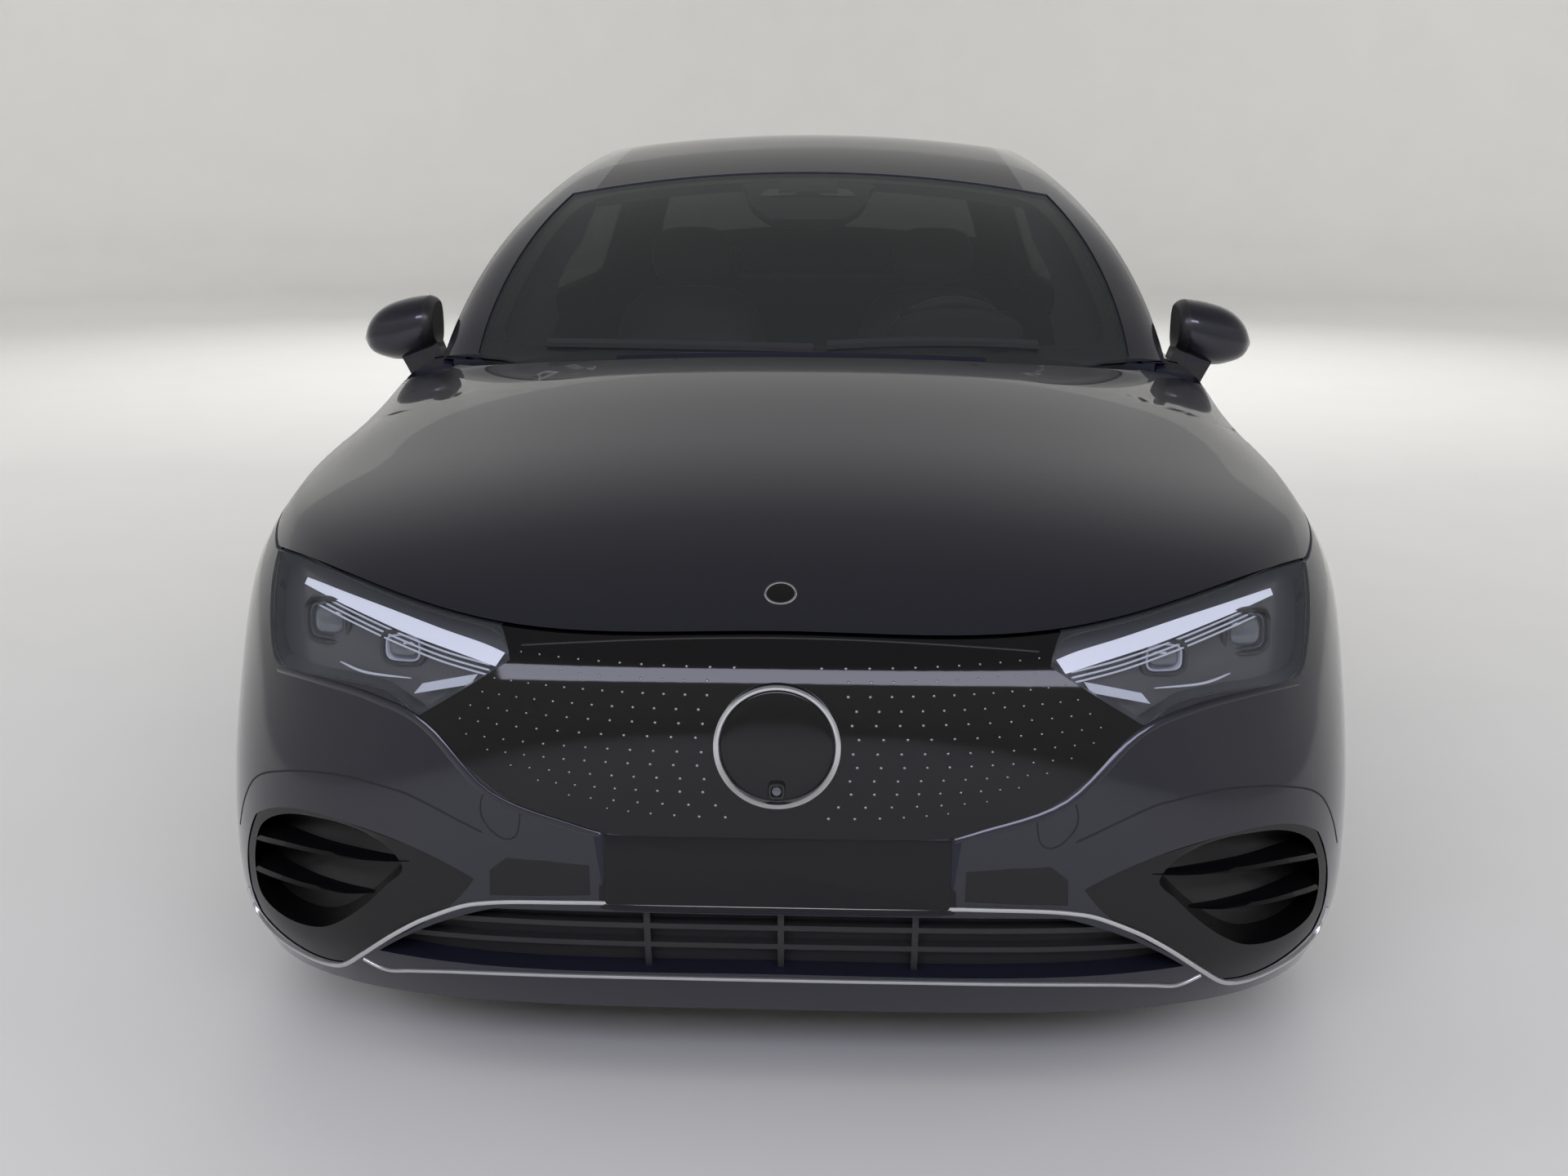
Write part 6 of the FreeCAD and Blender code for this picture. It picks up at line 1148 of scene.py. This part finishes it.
def dashboard_details():
    """Two blank screens, the hood over the driver's one and three air vents."""
    bevelled_panel("centre_display", [(-0.16, -0.559, 0.735), (0.16, -0.559, 0.735), (-0.16, -0.556, 0.935)],
                   0.008, SCREEN, "dashboard")
    bevelled_panel("driver_display", [(0.235, -0.655, 1.002), (0.515, -0.655, 1.002), (0.235, -0.668, 1.068)],
                   0.010, SCREEN, "dashboard")
    rings = []
    for y, k in ((-0.800, 0.86), (-0.780, 0.95), (-0.700, 1.0), (-0.672, 1.0), (-0.668, 0.97)):
        ring = []
        for w in np.linspace(0, 2 * math.pi, 40, endpoint=False):
            rise = 0.078 * k * max(0.0, math.sin(w)) ** 0.6 - (0.012 if math.sin(w) < 0 else 0)
            ring.append((0.375 + 0.165 * k * math.cos(w), y, 0.995 + rise))
        rings.append(ring)
    loft("instrument_hood", rings, TRIM_TOP, "dashboard")
    for k, x in enumerate((-0.62, -0.40, 0.66)):
        rings = [oval_ring((x, -0.562 + d2, 0.86), (1, 0, 0), (0, 0, 1), 0.052 * q, 0.030 * q, 3.0, 32)
                 for d2, q in ((0.0, 1.0), (0.008, 1.0), (0.010, 0.94), (0.004, 0.86), (0.003, 0.2))]
        loft("air_vent_%d" % k, rings, SATIN_BLACK, "dashboard")


dashboard_details()

# Tail


def bowed(half_wide, z, rise, count=13):
    """Points (x, z) across the tail whose height changes by rise towards both ends."""
    return [(x, z + rise * (x / half_wide) ** 2) for x in np.linspace(-half_wide, half_wide, count)]


def tail_details():
    """The tail's light line, reflectors and the two strips of the rear bumper."""
    ribbon("tail_light_line", rear_skin(bowed(600, 972, -8)), 7.0, 1.2, RED_GLOW, "lid_lamp_band", sink=1.0)
    for side, sign in (("left", 1), ("right", -1)):
        light_end = rear_skin([(sign * x, z) for x, z in ((650, 968), (700, 967), (755, 966))])
        ribbon("tail_light_end_" + side, light_end, 7.0, 1.2, RED_GLOW, "tail_lamps", sink=1.0)
        reflector = rear_skin([(sign * x, 372) for x in (560, 640, 700)])
        ribbon("rear_reflector_" + side, reflector, 22.0, 2.0, RED, "rear_bumper", taper=0.25)
    ribbon("rear_low_strip", rear_skin(bowed(640, 292, 20)), 11.0, 3.0, CHROME, "rear_bumper", sink=3.0,
           taper=0.3)
    ribbon("rear_diffuser_edge", rear_skin(bowed(520, 392, 10, 11)), 7.0, 1.5, SATIN_BLACK, "rear_bumper",
           taper=0.3)


tail_details()

# Wheel details


def hub_face(node, r0, r1):
    """How far out the rim's middle reaches between two radii."""
    lo, hi = (np.array(v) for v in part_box(node))
    cy, cz = (lo[1] + hi[1]) / 2, (lo[2] + hi[2]) / 2
    me = NODES[node].data
    co = np.empty(len(me.vertices) * 3)
    me.vertices.foreach_get("co", co)
    co = co.reshape(-1, 3)
    r = np.hypot(co[:, 1] - cy, co[:, 2] - cz)
    return np.abs(co[(r >= r0) & (r <= r1), 0]).max(), cy, cz


BOLTS, BOLT_CIRCLE = 5, 0.056
BOLT_PROFILE = [(0.0115, -0.006), (0.0115, 0.003), (0.0100, 0.0045), (0.0055, 0.0048), (0.0050, 0.0015),
                (0.001, 0.0014)]
CAP_PROFILE = [(0.034, -0.006), (0.034, 0.002), (0.031, 0.0040), (0.022, 0.0052), (0.008, 0.0056),
               (0.001, 0.0057)]


def wheel_centre(tag, node, sign):
    """Five bolts round a plain hub cap."""
    face, cy, cz = hub_face(node, 0.0, 0.075)
    for k in range(BOLTS):
        w = 2 * math.pi * (k + 0.5) / BOLTS + math.pi / 2
        place = (sign * face, cy + BOLT_CIRCLE * math.cos(w), cz + BOLT_CIRCLE * math.sin(w))
        bolt = turned_on("bolt_%s_%d" % (tag, k), place, (sign, 0, 0), BOLT_PROFILE, IRON, node, count=12,
                         across=(0, 1, 0), end_cap=True)
    cap = turned_on("hub_cap_" + tag, (sign * face, cy, cz), (sign, 0, 0), CAP_PROFILE, SATIN_BLACK, node,
                    across=(0, 1, 0), end_cap=True)


for end in ("front", "rear"):
    for side, sign in (("left", 1), ("right", -1)):
        wheel_centre("%s_%s" % (end, side), "rim_%s_%s" % (end, side), sign)

# Camera, light and floor

yaw, pitch, roll = (math.radians(a) for a in (1.93, 15.27, 0.15))
right = Vector((math.cos(yaw), math.sin(yaw), 0))
ahead = Vector((-math.sin(yaw) * math.cos(pitch), math.cos(yaw) * math.cos(pitch), -math.sin(pitch)))
up = right.cross(ahead)
cam_x = math.cos(roll) * right + math.sin(roll) * up
cam_y = -math.sin(roll) * right + math.cos(roll) * up
cam_data = bpy.data.cameras.new("camera")
cam_data.sensor_fit = "HORIZONTAL"
cam_data.sensor_width = 36.0
cam_data.lens = 36.0 * 1852 / 1920
cam = bpy.data.objects.new("camera", cam_data)
m = Matrix.Identity(4)
for i in range(3):
    m[i][0], m[i][1], m[i][2] = cam_x[i], cam_y[i], -ahead[i]
m[0][3], m[1][3], m[2][3] = 0.077, -4.479, 1.389
cam.matrix_world = m
scene.collection.objects.link(cam)
scene.camera = cam
scene.view_settings.view_transform = "Standard"

FLOOR = material("pale_floor", (0.60, 0.595, 0.575), rough=0.6, noise=0.03, noise_scale=2)


def stage_mesh(name, verts, faces, mat):
    new_object(name, verts, faces, mat)


turn_steps = np.linspace(0, 2 * math.pi, 96, endpoint=False)
# Radius and height of the round floor that curves up into a wall
ROOM_PROFILE = [(0.0, 0.0), (6.0, 0.0), (11.0, 0.0), (12.6, 0.12), (13.5, 0.6), (13.9, 1.4), (14.0, 2.6),
                (14.0, 6.5)]
room = [(radius * math.cos(a) + 0.001 * math.sin(a), 1.0 + radius * math.sin(a), height)
        for radius, height in ROOM_PROFILE for a in turn_steps]
stage_mesh("studio", room, between_rings(len(ROOM_PROFILE), len(turn_steps)), FLOOR)


def area_light(name, place, target, size, power, color=(1, 1, 1), mirrored_in_gloss=False):
    data = bpy.data.lights.new(name, "AREA")
    data.shape = "RECTANGLE"
    data.size, data.size_y = size
    data.energy = power
    data.color = color
    ob = bpy.data.objects.new(name, data)
    ob.location = place
    ob.rotation_euler = (Vector(target) - Vector(place)).to_track_quat("-Z", "Y").to_euler()
    ob.visible_glossy = mirrored_in_gloss
    scene.collection.objects.link(ob)


area_light("key", (0, -7.6, 4.4), (0, -2.0, 0.8), (9, 1.6), 300, (0.80, 0.80, 1.0), True)
area_light("front_fill", (0, -5.4, 5.4), (0, -1.5, 0.5), (8, 3), 90)
area_light("back_wash", (0, 5.0, 6.2), (0, 14.0, 2.5), (16, 2), 460)
area_light("left_wash", (5.0, 0, 6.2), (14.0, 3.0, 2.5), (16, 2), 260)
area_light("right_wash", (-5.0, 0, 6.2), (-14.0, 3.0, 2.5), (16, 2), 260)
area_light("front_wash", (0, -5.0, 6.2), (0, -13.0, 2.5), (16, 2), 230)
area_light("left", (8.0, -1.5, 4.2), (0, -0.5, 0.8), (6, 3), 125)
area_light("right", (-8.0, -1.5, 4.2), (0, -0.5, 0.8), (6, 3), 125)
area_light("top", (0, 3.5, 6.0), (0, 3.5, 0), (10, 6), 300)
area_light("tail", (0, 9.0, 5.0), (0, 2.5, 0.6), (8, 3), 260)
world = bpy.data.worlds.new("room")
scene.world = world
world.use_nodes = True
wt = world.node_tree
bg = wt.nodes["Background"]
coord = wt.nodes.new("ShaderNodeTexCoord")
split = wt.nodes.new("ShaderNodeSeparateXYZ")
ramp = wt.nodes.new("ShaderNodeValToRGB")
wt.links.new(coord.outputs["Generated"], split.inputs[0])
wt.links.new(split.outputs["Z"], ramp.inputs["Fac"])
ramp.color_ramp.elements[0].position = 0.0
ramp.color_ramp.elements[0].color = (0.60, 0.60, 0.59, 1)
ramp.color_ramp.elements[1].position = 0.75
ramp.color_ramp.elements[1].color = (0.22, 0.22, 0.22, 1)
wt.links.new(ramp.outputs["Color"], bg.inputs["Color"])
bg.inputs["Strength"].default_value = 1.0
